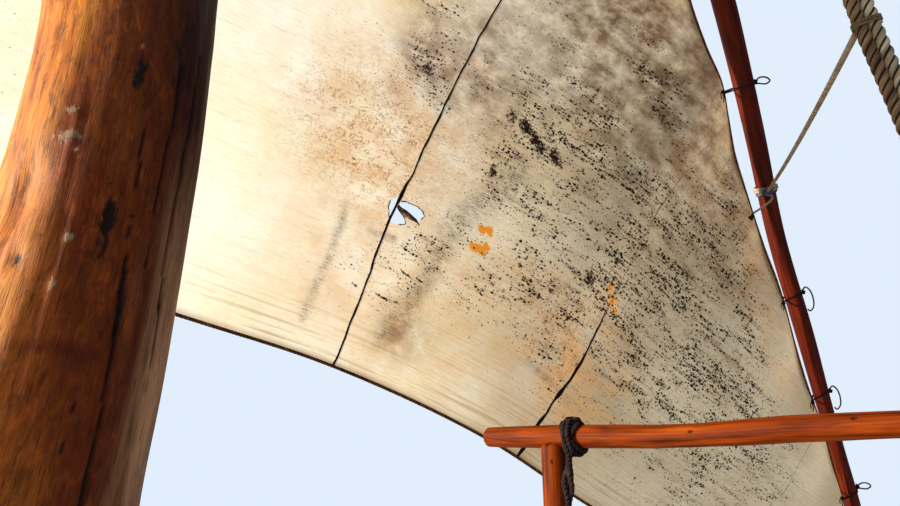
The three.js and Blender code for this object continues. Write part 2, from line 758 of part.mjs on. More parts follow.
function buildBoltRopes() {
  const along = ropeShares();
  const last = along[along.length - 1];
  const rises = clothRises(last);
  const leech = [0, ...rises.slice(1, -1), 1].map((rise) => sailPoint(1, rise));
  const reach = leech[0].distanceTo(leech[leech.length - 1]);
  const cut = (2 * BOLT_ROPE_RADIUS + GAP) / reach;
  leech[0] = sailPoint(1, cut);
  leech[leech.length - 1] = sailPoint(1, 1 - 1.5 * cut);
  addPart("leech_rope", boltRope(leech), ROPES.bolt);

  const foot = [...along, 1].map((share) => sailPoint(share, 0));
  addPart("foot_rope", boltRope(foot), ROPES.bolt);

  const luff = [...along, 1].map((share) => sailPoint(share, 1));
  const stations = luff.map((at) => ({ at }));
  let rope = solidOf(boltRope(luff));
  for (let distance = ROBANDS.from; distance <= ROBANDS.to; distance += ROBANDS.step) {
    if (Math.abs(distance - GUY_AT) > ROBANDS.clear) rope = rope.add(robandSolid(distance, stations));
  }
  addPart("luff_rope", geometryOf(rope), ROPES.bolt);
}

// Rail, posts and lashings
const railStations = RAIL_SECTIONS.map(([y, z, radius]) => ({ at: point(BEAM.x, y, z), radius }));

function buildRail() {
  addPart("rail", poleGeometry(railStations, SIDES.rail), WOODS.rail);
  const clearedRail = solidOf(poleGeometry(railStations, SIDES.rail, { grow: GAP }));
  for (const { name, y, foot, lash, radius } of POSTS) {
    const seat = lookUp(RAIL_SECTIONS, y, 1) - POST_SEAT;
    const stations = [...POST_SHAPE, [seat, 0]].map(([z, swell], row) => {
      return { at: point(BEAM.x, row < 2 ? foot : y, z), radius: radius + swell, facing: UP };
    });
    const post = solidOf(poleGeometry(stations, SIDES.rail)).subtract(clearedRail);
    addPart(`post_${name}`, geometryOf(post), WOODS.rail);

    const clearedPost = solidOf(poleGeometry(stations, SIDES.rail, { grow: GAP }));
    const side = y + lash * LASHING.aside;
    const railZ = lookUp(RAIL_SECTIONS, side, 1);
    const railRadius = lookUp(RAIL_SECTIONS, side, 2);
    const over = railRadius + LASHING.thickness;
    const turns = new THREE.CylinderGeometry(over, over, LASHING.width, LASHING.sides);
    turns.translate(BEAM.x, side, railZ);
    const knee = railZ - HANK.kneeDrop;
    const low = railZ - LASHING.drop;
    const hanging = poleGeometry(
      [
        { at: point(BEAM.x - railRadius - HANK.topOut, side, railZ), radius: HANK.top, facing: UP },
        { at: point(BEAM.x - railRadius + HANK.kneeIn, side, knee), radius: HANK.knee, facing: UP },
        { at: point(BEAM.x - radius, side - lash * HANK.footAside, low), radius: HANK.top, facing: UP },
      ],
      HANK.sides,
    );
    const around = radius + WOUND.thickness;
    const wound = new THREE.CylinderGeometry(around, around, WOUND.height, WOUND.sides)
      .rotateX(Math.PI / 2)
      .translate(BEAM.x, y, low);
    const lashing = solidOf(turns).add(solidOf(hanging)).add(solidOf(wound));
    const fitted = lashing.subtract(clearedRail).subtract(clearedPost);
    addPart(`rail_lashing_${name}`, geometryOf(fitted), ROPES.tarred);
  }
}

// Halyard: over its sheave and down to its turns round the fore beam
function fallPoints(side) {
  const head = mastAxisAt(PIN.z);
  const spread = (z, column) => (side > 0 ? lookUp(FALL_SPREAD, z, column) : 0);
  const x = head.x - SHEAVE.spread;
  const over = [];
  for (let n = 0; n <= HALYARD_STEPS; n += 1) {
    const angle = (Math.PI * n) / HALYARD_STEPS;
    const y = head.y + HALYARD_TURN * Math.cos(angle);
    over.push(point(x + spread(PIN.z, 1), y, PIN.z + HALYARD_TURN * Math.sin(angle)));
  }
  const down = FALL_POINTS.map(([fx, fy, fz]) => point(fx + spread(fz, 1), fy + spread(fz, 2), fz));
  const end = point(FALL_END.x + spread(0, 1), FALL_END.y + spread(0, 2), FALL_END.z);
  return [...over, ...down, end];
}

function ropeStations(points) {
  const curve = new THREE.CatmullRomCurve3(points, false, "centripetal");
  const steps = Math.round(curve.getLength() / HALYARD_SPACING);
  return curve.getSpacedPoints(steps).map((at) => ({ at, radius: HALYARD_RADIUS }));
}

function buildFalls() {
  const middle = BEAM_TOP - BEAM.height / 2;
  const clearedBeam = solidOf(
    boxGeometry(BEAM.width + 2 * GAP, BELAY.clear, BEAM.height + 2 * GAP, BEAM.x, 0, middle),
  );
  for (const [name, side] of [["fore", 1], ["aft", -1]]) {
    const points = fallPoints(side);
    const over = points.slice(0, HALYARD_STEPS + 1).map((at) => ({ at, radius: HALYARD_RADIUS }));
    over[0].facing = UP;
    const down = ropeStations(points.slice(HALYARD_STEPS)).slice(1);
    const rope = solidOf(poleGeometry([...over, ...down], SIDES.halyard));
    const end = points[points.length - 1];
    const [wide, high] = [BEAM.width + 2 * BELAY.thickness, BEAM.height + 2 * BELAY.thickness];
    const turns = boxGeometry(wide, BELAY.width, high, BEAM.x, end.y, middle);
    const belayed = rope.add(solidOf(turns)).subtract(clearedBeam);
    addPart(`halyard_${name}`, geometryOf(belayed), ROPES.manila);
  }
}

// Halyard ties, from the masthead down to the sling's becket
function buildTies() {
  const head = mastAxisAt(PIN.z);
  for (const [name, side] of [["fore", 1], ["aft", -1]]) {
    const top = point(head.x + side * SHEAVE.spread, head.y + HALYARD_TURN, PIN.z - GAP);
    const aim = becketAt.clone().add(point(side * TIE.apart, 0, 0));
    const foot = aim.add(top.clone().sub(aim).setLength(BECKET.radius - GAP));
    const way = foot.clone().sub(top).normalize();
    const bend = top.clone().addScaledVector(UP, -TIE.drop).addScaledVector(way, TIE.reach);
    const stations = [
      { at: top, radius: HALYARD_RADIUS, facing: UP },
      { at: bend, radius: HALYARD_RADIUS },
      { at: foot, radius: HALYARD_RADIUS },
    ];
    addPart(`halyard_tie_${name}`, poleGeometry(stations, SIDES.halyard), ROPES.manila);
  }
}

// Seizing and guy
function fallAt(side, z) {
  const stations = ropeStations(fallPoints(side).slice(HALYARD_STEPS));
  let row = 1;
  while (row < stations.length - 1 && stations[row].at.z > z) row += 1;
  const [high, low] = [stations[row - 1].at, stations[row].at];
  const share = (high.z - z) / (high.z - low.z);
  return { at: high.clone().lerp(low, share), along: high.clone().sub(low).normalize() };
}

function buildSeizing() {
  const falls = [-1, 1].map((side) => fallAt(side, SEIZING.z));
  const { at, along } = falls[0];
  const across = falls[1].at.clone().sub(at);
  across.addScaledVector(along, -across.dot(along)).normalize();
  const frame = { at, along, aft: across, port: point(0, 0, 0).crossVectors(along, across) };
  const circles = falls.map((fall) => ({ at: fall.at, radius: HALYARD_RADIUS }));
  let seizing = wrapSolid(circles, frame, SEIZING.width, SEIZING.thickness);
  for (const fall of falls) {
    const reach = SEIZING.reach;
    const ends = [-reach, reach].map((shift) => fall.at.clone().addScaledVector(fall.along, shift));
    const stations = ends.map((end) => ({ at: end, radius: HALYARD_RADIUS + GAP }));
    seizing = seizing.subtract(solidOf(poleGeometry(stations, SIDES.halyard)));
  }
  addPart("guy_seizing", geometryOf(seizing), ROPES.white);
}

function buildGuy() {
  const frame = yardFrame(GUY_AT);
  const spar = sparAt(lowerStations, GUY_AT);
  const fall = fallAt(-1, SEIZING.z);
  const away = fall.at.clone().sub(spar.at).normalize();
  const side = away.clone().addScaledVector(frame.along, -away.dot(frame.along)).normalize();
  const knotAt = spar.at.clone().addScaledVector(side, spar.radius + HITCH.knotOut);
  const knot = new THREE.SphereGeometry(HITCH.knot, HITCH.sides, HITCH.rows);
  knot.translate(knotAt.x, knotAt.y, knotAt.z);
  const hitch = bandSolid(GUY_AT, HITCH.width, HITCH.thickness).add(boreForSpars(solidOf(knot)));
  addPart("guy_hitch", geometryOf(hitch), ROPES.white);

  const reach = HALYARD_RADIUS + SEIZING.thickness;
  const start = knotAt.clone().addScaledVector(away, HITCH.knot + GAP);
  const end = fall.at.clone().addScaledVector(away, -reach - GUY.clear);
  const stations = GUY.stations.map((share) => {
    const sag = -4 * share * (1 - share) * GUY.sag;
    return { at: start.clone().lerp(end, share).addScaledVector(UP, sag), radius: GUY.radius };
  });
  addPart("yard_guy", poleGeometry(stations, CORD_SIDES.guy), ROPES.white);
}

// Tack and peak lashings round the yard's ends, and the clew's cringle
function buildCorners() {
  const { width, thickness, belowTack, abovePeak } = CORNER_LASHING;
  addPart("tack_lashing", geometryOf(bandSolid(LUFF.from - belowTack, width, thickness)), ROPES.tarred);
  addPart("peak_lashing", geometryOf(bandSolid(LUFF.to + abovePeak, width, thickness)), ROPES.tarred);
  const clew = sailPoint(1, 0);
  const out = clew.clone().sub(sailPoint(1 - INSET_REACH, INSET_REACH)).normalize();
  const place = clew.clone().addScaledVector(out, CRINGLE.out);
  const normal = sailNormal(1, 0);
  const ring = new THREE.TorusGeometry(CRINGLE.radius, CRINGLE.thickness, CRINGLE.sides, CRINGLE.steps);
  ring.applyQuaternion(new THREE.Quaternion().setFromUnitVectors(UP, normal));
  addPart("clew_cringle", ring.translate(place.x, place.y, place.z), IRON);
}

buildBase();
buildMast();
buildSheaves();
buildYard();
buildSling();
buildParrel();
buildSail();
buildBoltRopes();
buildRail();
buildFalls();
buildTies();
buildSeizing();
buildGuy();
buildCorners();

export default rig;
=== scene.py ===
import math

import bpy
import numpy as np
from mathutils import Matrix, Vector
from mathutils.geometry import delaunay_2d_cdt


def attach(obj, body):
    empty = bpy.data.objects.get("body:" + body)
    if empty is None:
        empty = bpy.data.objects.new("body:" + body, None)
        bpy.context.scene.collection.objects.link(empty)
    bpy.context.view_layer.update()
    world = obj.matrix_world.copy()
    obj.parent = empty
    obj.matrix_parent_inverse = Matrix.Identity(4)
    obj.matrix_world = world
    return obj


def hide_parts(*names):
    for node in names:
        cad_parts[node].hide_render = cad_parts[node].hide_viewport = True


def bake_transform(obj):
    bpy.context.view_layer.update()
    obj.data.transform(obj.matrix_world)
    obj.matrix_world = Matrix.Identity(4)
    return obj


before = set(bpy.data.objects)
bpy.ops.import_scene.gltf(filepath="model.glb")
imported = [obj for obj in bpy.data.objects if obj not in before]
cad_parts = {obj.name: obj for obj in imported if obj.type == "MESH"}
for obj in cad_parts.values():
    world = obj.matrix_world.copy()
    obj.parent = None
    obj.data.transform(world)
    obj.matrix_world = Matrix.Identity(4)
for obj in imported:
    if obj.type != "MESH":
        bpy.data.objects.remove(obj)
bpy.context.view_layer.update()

ROOT = "mast_and_base"
YARD = "yard_and_sail"
TAU = 2 * math.pi
UP = np.array([0.0, 0.0, 1.0])

# Camera: a person's eye, standing aft and to starboard of the mast and looking up past it
EYE = (-0.105, -0.742, 1.85)
HEADING = math.radians(42.0)
PITCH = math.radians(12.5)
LENS = 27.6
SENSOR = 36.0

# Shape tables repeated from the part's source, in metres
# Height, forward, port, radius
MAST_SECTIONS = [
    (0.2206, 0.018, 0.04, 0.128), (0.9, 0.079, 0.076, 0.127), (1.45, 0.127, 0.098, 0.125),
    (1.744, 0.153, 0.089, 0.118), (1.864, 0.163, 0.063, 0.11), (1.949, 0.171, 0.051, 0.104),
    (2.042, 0.179, 0.042, 0.0985), (2.15, 0.188, 0.036, 0.0945), (2.278, 0.199, 0.05, 0.0925),
    (2.372, 0.208, 0.072, 0.095), (2.75, 0.241, 0.084, 0.094), (3.5, 0.306, 0.056, 0.09),
    (4.7, 0.411, 0.02, 0.084), (6, 0.525, 0, 0.078), (6.95, 0.608, 0, 0.0745), (7.25, 0.634, 0, 0.0745),
    (7.38, 0.646, 0, 0.079), (7.85, 0.687, 0, 0.079), (7.88, 0.69, 0, 0.07), (7.895, 0.691, 0, 0.046),
]
PIN_HEIGHT = 7.640
SLOT_WIDTH = 0.046
SLOT_HEIGHT = 0.234
SHEAVE_SPREAD = 0.030
# Radius, distance from the middle plane
SHEAVE_PROFILE = [
    (0.0115, -0.019), (0.0885, -0.019), (0.092, -0.0165), (0.0885, -0.0145), (0.079, -0.0105),
    (0.076, -0.006), (0.076, 0.006), (0.079, 0.0105), (0.0885, 0.0145), (0.092, 0.0165), (0.0885, 0.019),
    (0.0115, 0.019),
]
YARD_HEEL = np.array([4.125, 0.136, 0.420])
YARD_PLAN = np.array([-3.330, 0.080, 0.0]) / math.hypot(3.330, 0.080)
YARD_LENGTH = 13.4
YARD_SLOPE = (65.5, 54.0)
LAP = (6.600, 8.400)
SLING_AT = 7.500
# Distance along the yard, crook to port, radius, height above the yard's arc
LOWER_SPAR = [
    (0, -0.02, 0.03, 0), (0.5, -0.017, 0.032, 0), (1.08, -0.013, 0.034, 0), (1.5, -0.003, 0.0325, 0),
    (1.95, 0.004, 0.0375, 0), (2.4, 0.016, 0.037, 0), (2.9, -0.007, 0.041, 0), (3.46, -0.021, 0.047, 0),
    (4.5, -0.01, 0.053, 0), (5.6, 0.008, 0.058, 0), (6.6, 0.006, 0.06, 0), (7.5, 0, 0.058, 0),
    (8.4, 0.004, 0.048, 0),
]
UPPER_SPAR = [
    (6.6, 0.006, 0.058, 0.119), (7.5, 0, 0.06, 0.119), (8.4, 0.004, 0.058, 0.108),
    (9.4, 0.02, 0.054, 0.066), (10.6, 0.006, 0.046, 0.024), (12, -0.02, 0.036, 0.004), (13.4, 0, 0.026, 0),
]
WOOLDINGS = [6.720, 7.100, 7.740, 8.240]
LUFF = (0.280, 13.050)
FOOT_POINTS = [
    (3.1, 0.425, 1.06), (2.296, 0.708, 1.481), (1.829, 0.84, 1.744), (1.273, 0.987, 1.97),
    (0.81, 1.101, 2.097), (-0.6, 1.38, 2.45), (-2.4, 1.64, 2.85), (-4.1, 1.85, 3.25),
]
# Share of the foot, share of the luff, belly at mid length
SEAMS = [
    (0, 0, 0), (0.14, 0.0935, 0.009), (0.268, 0.21, 0.025), (0.3605, 0.3132, 0.144), (0.465, 0.4151, 0.221),
    (0.61, 0.565, 0.3), (0.74, 0.7, 0.32), (0.87, 0.85, 0.26), (1, 1, 0.12),
]
ROBANDS = (0.680, 12.900, 0.481)
GUY_AT = 2.620
RAIL_X = 1.450
# Distance to starboard, height, radius
RAIL_SECTIONS = [
    (-0.545, 1.762, 0.017), (-0.53, 1.763, 0.024), (-0.5, 1.765, 0.0265), (-0.4, 1.768, 0.028),
    (-0.266, 1.773, 0.029), (-0.054, 1.779, 0.027), (0.091, 1.787, 0.026), (0.207, 1.797, 0.0275),
    (0.331, 1.808, 0.027), (0.477, 1.817, 0.0255), (1.12, 1.846, 0.026), (1.24, 1.85, 0.025),
]
# Name, port at the top, port at the foot, side of the lashing, radius
POSTS = [
    ("inner", 0.293, 0.288, -1, 0.036), ("outer", -1.13, -1.126, 1, 0.035),
]
BEAM_TOP = 0.2503
BEAM = (1.375, 1.525, 0.1203, BEAM_TOP)
FALL_POINTS = [
    (0.76, -0.155, 6.3), (0.93, -0.25, 4.9), (1.1, -0.375, 3.7), (1.247, -0.525, 2.586),
    (1.28, -0.57, 2.35), (1.4, -0.8, 1.15),
]
FALL_END = (1.455, -0.925, BEAM_TOP + 0.008)
# Height, fore fall's offset forward, to port
FALL_SPREAD = [
    (0, 0.002, -0.062), (1.15, 0.004, -0.04), (2.35, 0.008, -0.0212), (2.586, 0.008, -0.0208),
    (3.7, 0.018, -0.02), (4.9, 0.03, -0.016), (6.3, 0.04, -0.008), (7.64, 0.06, 0),
]
HALYARD_RADIUS = 0.015
FALL_RADIUS = 0.0130
FALL_POINTS_AROUND = 18
HALYARD_TURN = 0.0935
SEIZING_HEIGHT = 2.530


def part(value, low=0.0, high=1.0):
    """How far a value has come from low to high, held from 0 to 1."""
    return np.clip((value - low) / (high - low), 0, 1)


def bell(*ratios, fall=1.0):
    return np.exp(-fall * sum(ratio**2 for ratio in ratios))


def spot(*ratios):
    """Soft round spot, about half as strong where it reaches its named size."""
    return bell(*ratios, fall=0.7)


def turned(a, b, angle):
    """Vectors turned by angles from a towards b."""
    return np.multiply.outer(np.cos(angle), a) + np.multiply.outer(np.sin(angle), b)


def grid_pairs(rows, columns):
    return (grid.ravel() for grid in np.meshgrid(np.arange(rows), np.arange(columns), indexing="ij"))


def smooth_at(table, key, column):
    """Smooth value of a column of a table whose first column rises."""
    rows = np.asarray(table, float)
    keys, values = rows[:, 0], rows[:, column]
    slopes = np.empty(len(keys))
    slopes[1:-1] = (values[2:] - values[:-2]) / (keys[2:] - keys[:-2])
    slopes[0] = (values[1] - values[0]) / (keys[1] - keys[0])
    slopes[-1] = (values[-1] - values[-2]) / (keys[-1] - keys[-2])
    key = np.asarray(key, float)
    row = np.clip(np.searchsorted(keys, key, side="left"), 1, len(keys) - 1)
    span = keys[row] - keys[row - 1]
    t = np.clip((key - keys[row - 1]) / span, 0, 1)
    rise = values[row] - values[row - 1]
    bend = t * (1 - t) * ((1 - t) * (slopes[row - 1] * span - rise) - t * (slopes[row] * span - rise))
    return values[row - 1] + rise * t + bend


def columns_at(table, key, *columns):
    return [smooth_at(table, key, column) for column in columns]


def unit(vectors):
    vectors = np.asarray(vectors, float)
    return vectors / np.linalg.norm(vectors, axis=-1, keepdims=True)


def catmull(points, step):
    """Points about a step apart on a centripetal Catmull-Rom curve."""
    points = np.asarray(points, float)
    padded = np.vstack([2 * points[0] - points[1], points, 2 * points[-1] - points[-2]])
    curve = []
    for row in range(1, len(padded) - 2):
        p0, p1, p2, p3 = padded[row - 1 : row + 3]
        d0, d1, d2 = (np.sum((b - a) ** 2) ** 0.25 for a, b in ((p0, p1), (p1, p2), (p2, p3)))
        m1 = ((p1 - p0) / d0 - (p2 - p0) / (d0 + d1) + (p2 - p1) / d1) * d1
        m2 = ((p2 - p1) / d1 - (p3 - p1) / (d1 + d2) + (p3 - p2) / d2) * d1
        count = max(4, int(np.linalg.norm(p2 - p1) / step * 2))
        t = np.linspace(0, 1, count, endpoint=False)[:, None]
        curve.append(p1 + m1 * t + (3 * (p2 - p1) - 2 * m1 - m2) * t**2 + (2 * (p1 - p2) + m1 + m2) * t**3)
    return resample(np.vstack([*curve, points[-1]]), step)


def lengths_along(curve):
    return np.concatenate([[0], np.cumsum(np.linalg.norm(np.diff(curve, axis=0), axis=1))])


def resample(curve, step):
    """The same line with evenly spaced points."""
    lengths = lengths_along(curve)
    wanted = np.linspace(0, lengths[-1], max(2, int(round(lengths[-1] / step)) + 1))
    return np.stack([np.interp(wanted, lengths, curve[:, k]) for k in range(3)], axis=1)


def grain(seed, across, along, wrap=256):
    """Smooth random values from -1 to 1 on a grid of unit cells, repeating every wrap cells across."""
    table = np.random.default_rng(seed).uniform(-1, 1, (256, 256))
    across, along = np.broadcast_arrays(np.asarray(across, float), np.asarray(along, float))
    i, j = np.floor(across).astype(int), np.floor(along).astype(int)
    s, t = across - i, along - j
    s, t = s * s * (3 - 2 * s), t * t * (3 - 2 * t)
    i0, i1, j0, j1 = i % wrap, (i + 1) % wrap, j % 256, (j + 1) % 256
    low = table[i0, j0] * (1 - s) + table[i1, j0] * s
    high = table[i0, j1] * (1 - s) + table[i1, j1] * s
    return low * (1 - t) + high * t


# Yard and sail surfaces
def yard_slope(distance):
    return np.radians(YARD_SLOPE[0] + (YARD_SLOPE[1] - YARD_SLOPE[0]) * distance / YARD_LENGTH)


def yard_frame(distance):
    """Place, direction, aft-down normal and port side of the yard's arc, for an array of distances."""
    distance = np.atleast_1d(np.asarray(distance, float))
    steps = 80
    at = np.tile(YARD_HEEL, (len(distance), 1))
    for n in range(steps):
        way = turned(YARD_PLAN, UP, yard_slope((n + 0.5) * distance / steps))
        at = at + way * (distance / steps)[:, None]
    slope = yard_slope(distance)
    along, aft = (turned(YARD_PLAN, UP, angle) for angle in (slope, slope - TAU / 4))
    return at, along, aft, np.tile([YARD_PLAN[1], -YARD_PLAN[0], 0.0], (len(at), 1))


def yard_frame_at(distance):
    return [vectors[0] for vectors in yard_frame(distance)]


# Luff's offset to port of the yard's axis: it hangs in small scallops between its robands
LUFF_PORT = [
    (0, 0.004), (1.13, 0.004), (1.43, 0.007), (1.59, 0.015), (1.74, 0.025), (1.91, 0.029), (2.19, 0.03),
    (2.38, 0.046), (2.54, 0.055), (2.69, 0.061), (2.82, 0.064), (2.97, 0.052), (3.13, 0.04), (3.29, 0.062),
    (3.5, 0.076), (5, 0.078), (9, 0.08), (13.05, 0.012),
]


def luff_point(share):
    distance = LUFF[0] + np.atleast_1d(share) * (LUFF[1] - LUFF[0])
    at, _, aft, port = yard_frame(distance)
    back = 0.050 + 0.050 * part(distance, 0.5, 2.5)
    return at + aft * back[:, None] + port * smooth_at(LUFF_PORT, distance, 1)[:, None]


FOOT_LINE = catmull([luff_point(0.0)[0], *FOOT_POINTS], 0.01)
FOOT_SAMPLES = np.linspace(0, 1, len(FOOT_LINE))
LUFF_SAMPLES = np.linspace(0, 1, 2001)
LUFF_LINE = luff_point(LUFF_SAMPLES)


def on_line(share, samples, line):
    return np.stack([np.interp(share, samples, line[:, k]) for k in range(3)], axis=-1)


def sail_point(foot, rise):
    """Points of the sail from its share of the foot and its share of the way up to the luff."""
    foot, rise = np.broadcast_arrays(np.asarray(foot, float), np.asarray(rise, float))
    high = on_line(smooth_at(SEAMS, foot, 1), LUFF_SAMPLES, LUFF_LINE)
    low = on_line(foot, FOOT_SAMPLES, FOOT_LINE)
    belly = 4 * rise * (1 - rise) * smooth_at(SEAMS, foot, 2)
    return low + (high - low) * rise[..., None] + np.array([0, 1, 0]) * belly[..., None]


def sail_normal(foot, rise):
    step = 0.004
    across = sail_point(np.minimum(foot + step, 1), rise) - sail_point(np.maximum(foot - step, 0), rise)
    up = sail_point(foot, np.minimum(rise + step, 1)) - sail_point(foot, np.maximum(rise - step, 0))
    return unit(np.cross(across, up))


def sail_height(foot):
    return np.linalg.norm(sail_point(foot, 1.0) - sail_point(foot, 0.0), axis=-1)


# Mesh building
class Shape:
    """A piece in the making: points, faces, texture places in metres and a material number for each face."""

    def __init__(self):
        self.points, self.rows, self.places, self.numbers, self.total = [], [], [], [], 0

    def add_points(self, points):
        points = np.asarray(points, float).reshape(-1, 3)
        self.points.append(points)
        self.total += len(points)
        return self.total - len(points)

    def add_faces(self, first, faces, places, number=0):
        faces = np.asarray(faces, int) + first
        self.rows += faces.tolist()
        self.places.append(np.asarray(places, float).reshape(-1, 2))
        self.numbers.append(np.full(len(faces), number))

    def skin(self, rings, across, along, number=0, closed=False, flat=None):
        """Tube through rings of points, with its texture places both ways. An open tube is capped."""
        rows, sides = rings.shape[:2]
        first = self.add_points(rings)
        i, j = grid_pairs(rows if closed else rows - 1, sides)
        after, beside = (i + 1) % rows * sides, (j + 1) % sides
        faces = np.stack([i * sides + j, i * sides + beside, after + beside, after + j], axis=-1)
        left, right, low, high = across[j], across[j + 1], along[i], along[i + 1]
        places = np.stack([left, low, right, low, right, high, left, high], axis=-1)
        self.add_faces(first, faces, places, number)
        if not closed:
            ends = np.arange(sides)
            self.add_faces(first, [ends[::-1]], flat[::-1], number)
            self.add_faces(first, [ends + (rows - 1) * sides], flat, number)

    def mesh(self, name):
        mesh = bpy.data.meshes.new(name)
        mesh.from_pydata(np.vstack(self.points).tolist(), [], self.rows)
        return mesh

    def piece(self, name, body, materials, replaces=(), crease=40):
        mesh = self.mesh(name)
        mesh.polygons.foreach_set("use_smooth", np.ones(len(self.rows), bool))
        mesh.polygons.foreach_set("material_index", np.concatenate(self.numbers))
        mesh.uv_layers.new(name="surface").data.foreach_set("uv", np.vstack(self.places).ravel())
        for material in materials:
            mesh.materials.append(material)
        if crease:
            mesh.set_sharp_from_angle(angle=math.radians(crease))
        made = link(name, mesh)
        if body:
            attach(made, body)
        if replaces:
            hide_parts(*replaces)
        return made


def link(name, data):
    made = bpy.data.objects.new(name, data)
    bpy.context.scene.collection.objects.link(made)
    return made


def give_masks(made, masks):
    for name, values in masks.items():
        made.data.attributes.new(name, "FLOAT", "POINT").data.foreach_set("value", values.ravel())


def carried(path, closed=False):
    """Two sides at each point of a path, carried along it without turning about it."""
    way = unit(np.roll(path, -1, axis=0) - np.roll(path, 1, axis=0) if closed else np.gradient(path, axis=0))
    side = np.cross(way[0], UP if abs(way[0][2]) < 0.9 else np.array([1.0, 0.0, 0.0]))
    sides = np.empty_like(way)
    for n, direction in enumerate(way):
        side = side - direction * side.dot(direction)
        side = side / math.sqrt(side.dot(side))
        sides[n] = side
    return sides, np.cross(way, sides)


def sweep(shape, path, outline, turn=0.0, number=0, closed=False, frames=None):
    """Skin of a section carried along a path. Its outline is given as radii at even angles."""
    path = np.asarray(path, float)
    side, other = frames or carried(path, closed)
    outline = np.broadcast_to(outline, (len(path), np.shape(outline)[-1]))
    sides = outline.shape[1]
    angle = TAU * np.arange(sides) / sides + np.broadcast_to(turn, len(path))[:, None]
    out = np.cos(angle)[..., None] * side[:, None] + np.sin(angle)[..., None] * other[:, None]
    around = np.arange(sides + 1) * TAU * float(np.mean(outline)) / sides
    flat = np.stack([np.cos(angle[0]), np.sin(angle[0])], axis=-1) * outline[0][:, None]
    rings = path[:, None] + outline[..., None] * out
    shape.skin(rings, around, lengths_along(np.vstack([path, path[:1]])), number, closed, flat)


def strand_outline(radius, strands=3, points=24, hug=0.62):
    """Outline of a laid rope: overlapping round strands, as radii at even angles."""
    share = TAU / strands
    local = (TAU * np.arange(points) / points + share / 2) % share - share / 2
    centre, strand = radius * (1 - hug), radius * hug
    return centre * np.cos(local) + np.sqrt(strand**2 - (centre * np.sin(local)) ** 2)


def rounding(length, reach, least=0.09):
    """Share of the full radius along a piece with rounded ends."""
    end = np.minimum(length, length[-1] - length) / reach
    return np.sqrt(np.clip(1 - (1 - part(end)) ** 2, least, 1))


def rope(shape, path, radius, step, points=12, number=0, closed=False, lay=4.6, phase=0.0):
    """Three-strand rope with its right-hand lay, its ends rounded."""
    path = resample(np.asarray(path, float), step)
    if closed:
        path = path[:-1]
    length = lengths_along(path)
    outline = np.tile(strand_outline(radius, points=points), (len(path), 1))
    turns = length[-1] / (lay * radius)
    if closed:
        turn = phase + TAU * round(turns) * np.arange(len(path)) / len(path)
    else:
        outline *= rounding(length, radius)[:, None]
        turn = phase + TAU * turns * length / length[-1]
    sweep(shape, path, outline, turn, number, closed)


def cord(shape, path, radius, step, points=8, number=0):
    """Thin plain cord with rounded ends."""
    path = resample(np.asarray(path, float), step)
    outline = radius * rounding(lengths_along(path), radius)
    sweep(shape, path, np.tile(outline[:, None], (1, points)), 0.0, number)


def loop_point(circles, angle):
    """Points of the tightest loop round circles (across, up, radius) where it faces the given angles."""
    circles = np.asarray(circles, float)
    facing = np.stack([np.cos(angle), np.sin(angle)], axis=-1)
    best = (facing @ circles[:, :2].T + circles[:, 2]).argmax(axis=1)
    return circles[best, :2] + circles[best, 2, None] * facing


def spar_circles(distance, grow=0.0):
    """Sections of the spars at one place, as (aft, port, radius) from the yard's arc."""
    found = []
    for table, held in ((LOWER_SPAR, distance < LAP[1]), (UPPER_SPAR, distance > LAP[0])):
        if held:
            crook, radius, lift = columns_at(table, distance, 1, 2, 3)
            found.append((-lift, crook, radius + grow))
    return found


def on_yard(distance, aft, port):
    """Points from distances along the yard and offsets aft and to port of its arc."""
    at, _, aft_way, port_way = yard_frame(distance)
    return at + aft_way * np.reshape(aft, (-1, 1)) + port_way * np.reshape(port, (-1, 1))


def yard_turns(distance, width, radius, count, start=0.0):
    """Path of rope turns wound side by side round the yard."""
    share = np.linspace(0, 1, int(count * 40))
    offsets = loop_point(spar_circles(distance, radius), start + TAU * count * share)
    return on_yard(distance - width / 2 + width * share, offsets[:, 0], offsets[:, 1])


def ring_path(centre, across, up, circles, start, count, drift, steps=44):
    """Rope turns round circles in the plane of two axes, drifting along the third."""
    share = np.linspace(0, 1, int(count * steps))
    offsets = loop_point(circles, start + TAU * count * share)
    return np.asarray(centre) + offsets @ np.array([across, up], float) + np.outer(share - 0.5, drift)


def trefoil(centre, size, ways, flatten=1.0):
    """Closed path of an overhand knot. The ways are three axes, the last its thin one."""
    t = np.linspace(0, TAU, 91)
    local = [np.sin(t) + 2 * np.sin(2 * t), np.cos(t) - 2 * np.cos(2 * t), -flatten * np.sin(3 * t)]
    return np.asarray(centre) + size / 3 * np.stack(local, -1) @ np.asarray(ways)


def lathe(shape, centre, axis, side, profile, segments, number=0):
    """Solid of revolution. The profile has radius and height along the axis and closes on itself."""
    axis, side = unit(axis), unit(side)
    profile = np.asarray(profile, float)
    out = turned(side, np.cross(axis, side), TAU * np.arange(segments) / segments)
    rings = np.asarray(centre) + profile[:, None, :1] * out + profile[:, None, 1:] * axis
    around = np.arange(segments + 1) * float(profile[:, 0].max()) * TAU / segments
    shape.skin(rings, around, lengths_along(np.vstack([profile, profile[:1]])), number, closed=True)


# Material nodes
def tone(red, green, blue):
    """Linear colour from the values 0 to 255 that a screen shows."""
    shown = (red / 255, green / 255, blue / 255)
    return tuple(v / 12.92 if v < 0.0405 else ((v + 0.055) / 1.055) ** 2.4 for v in shown)


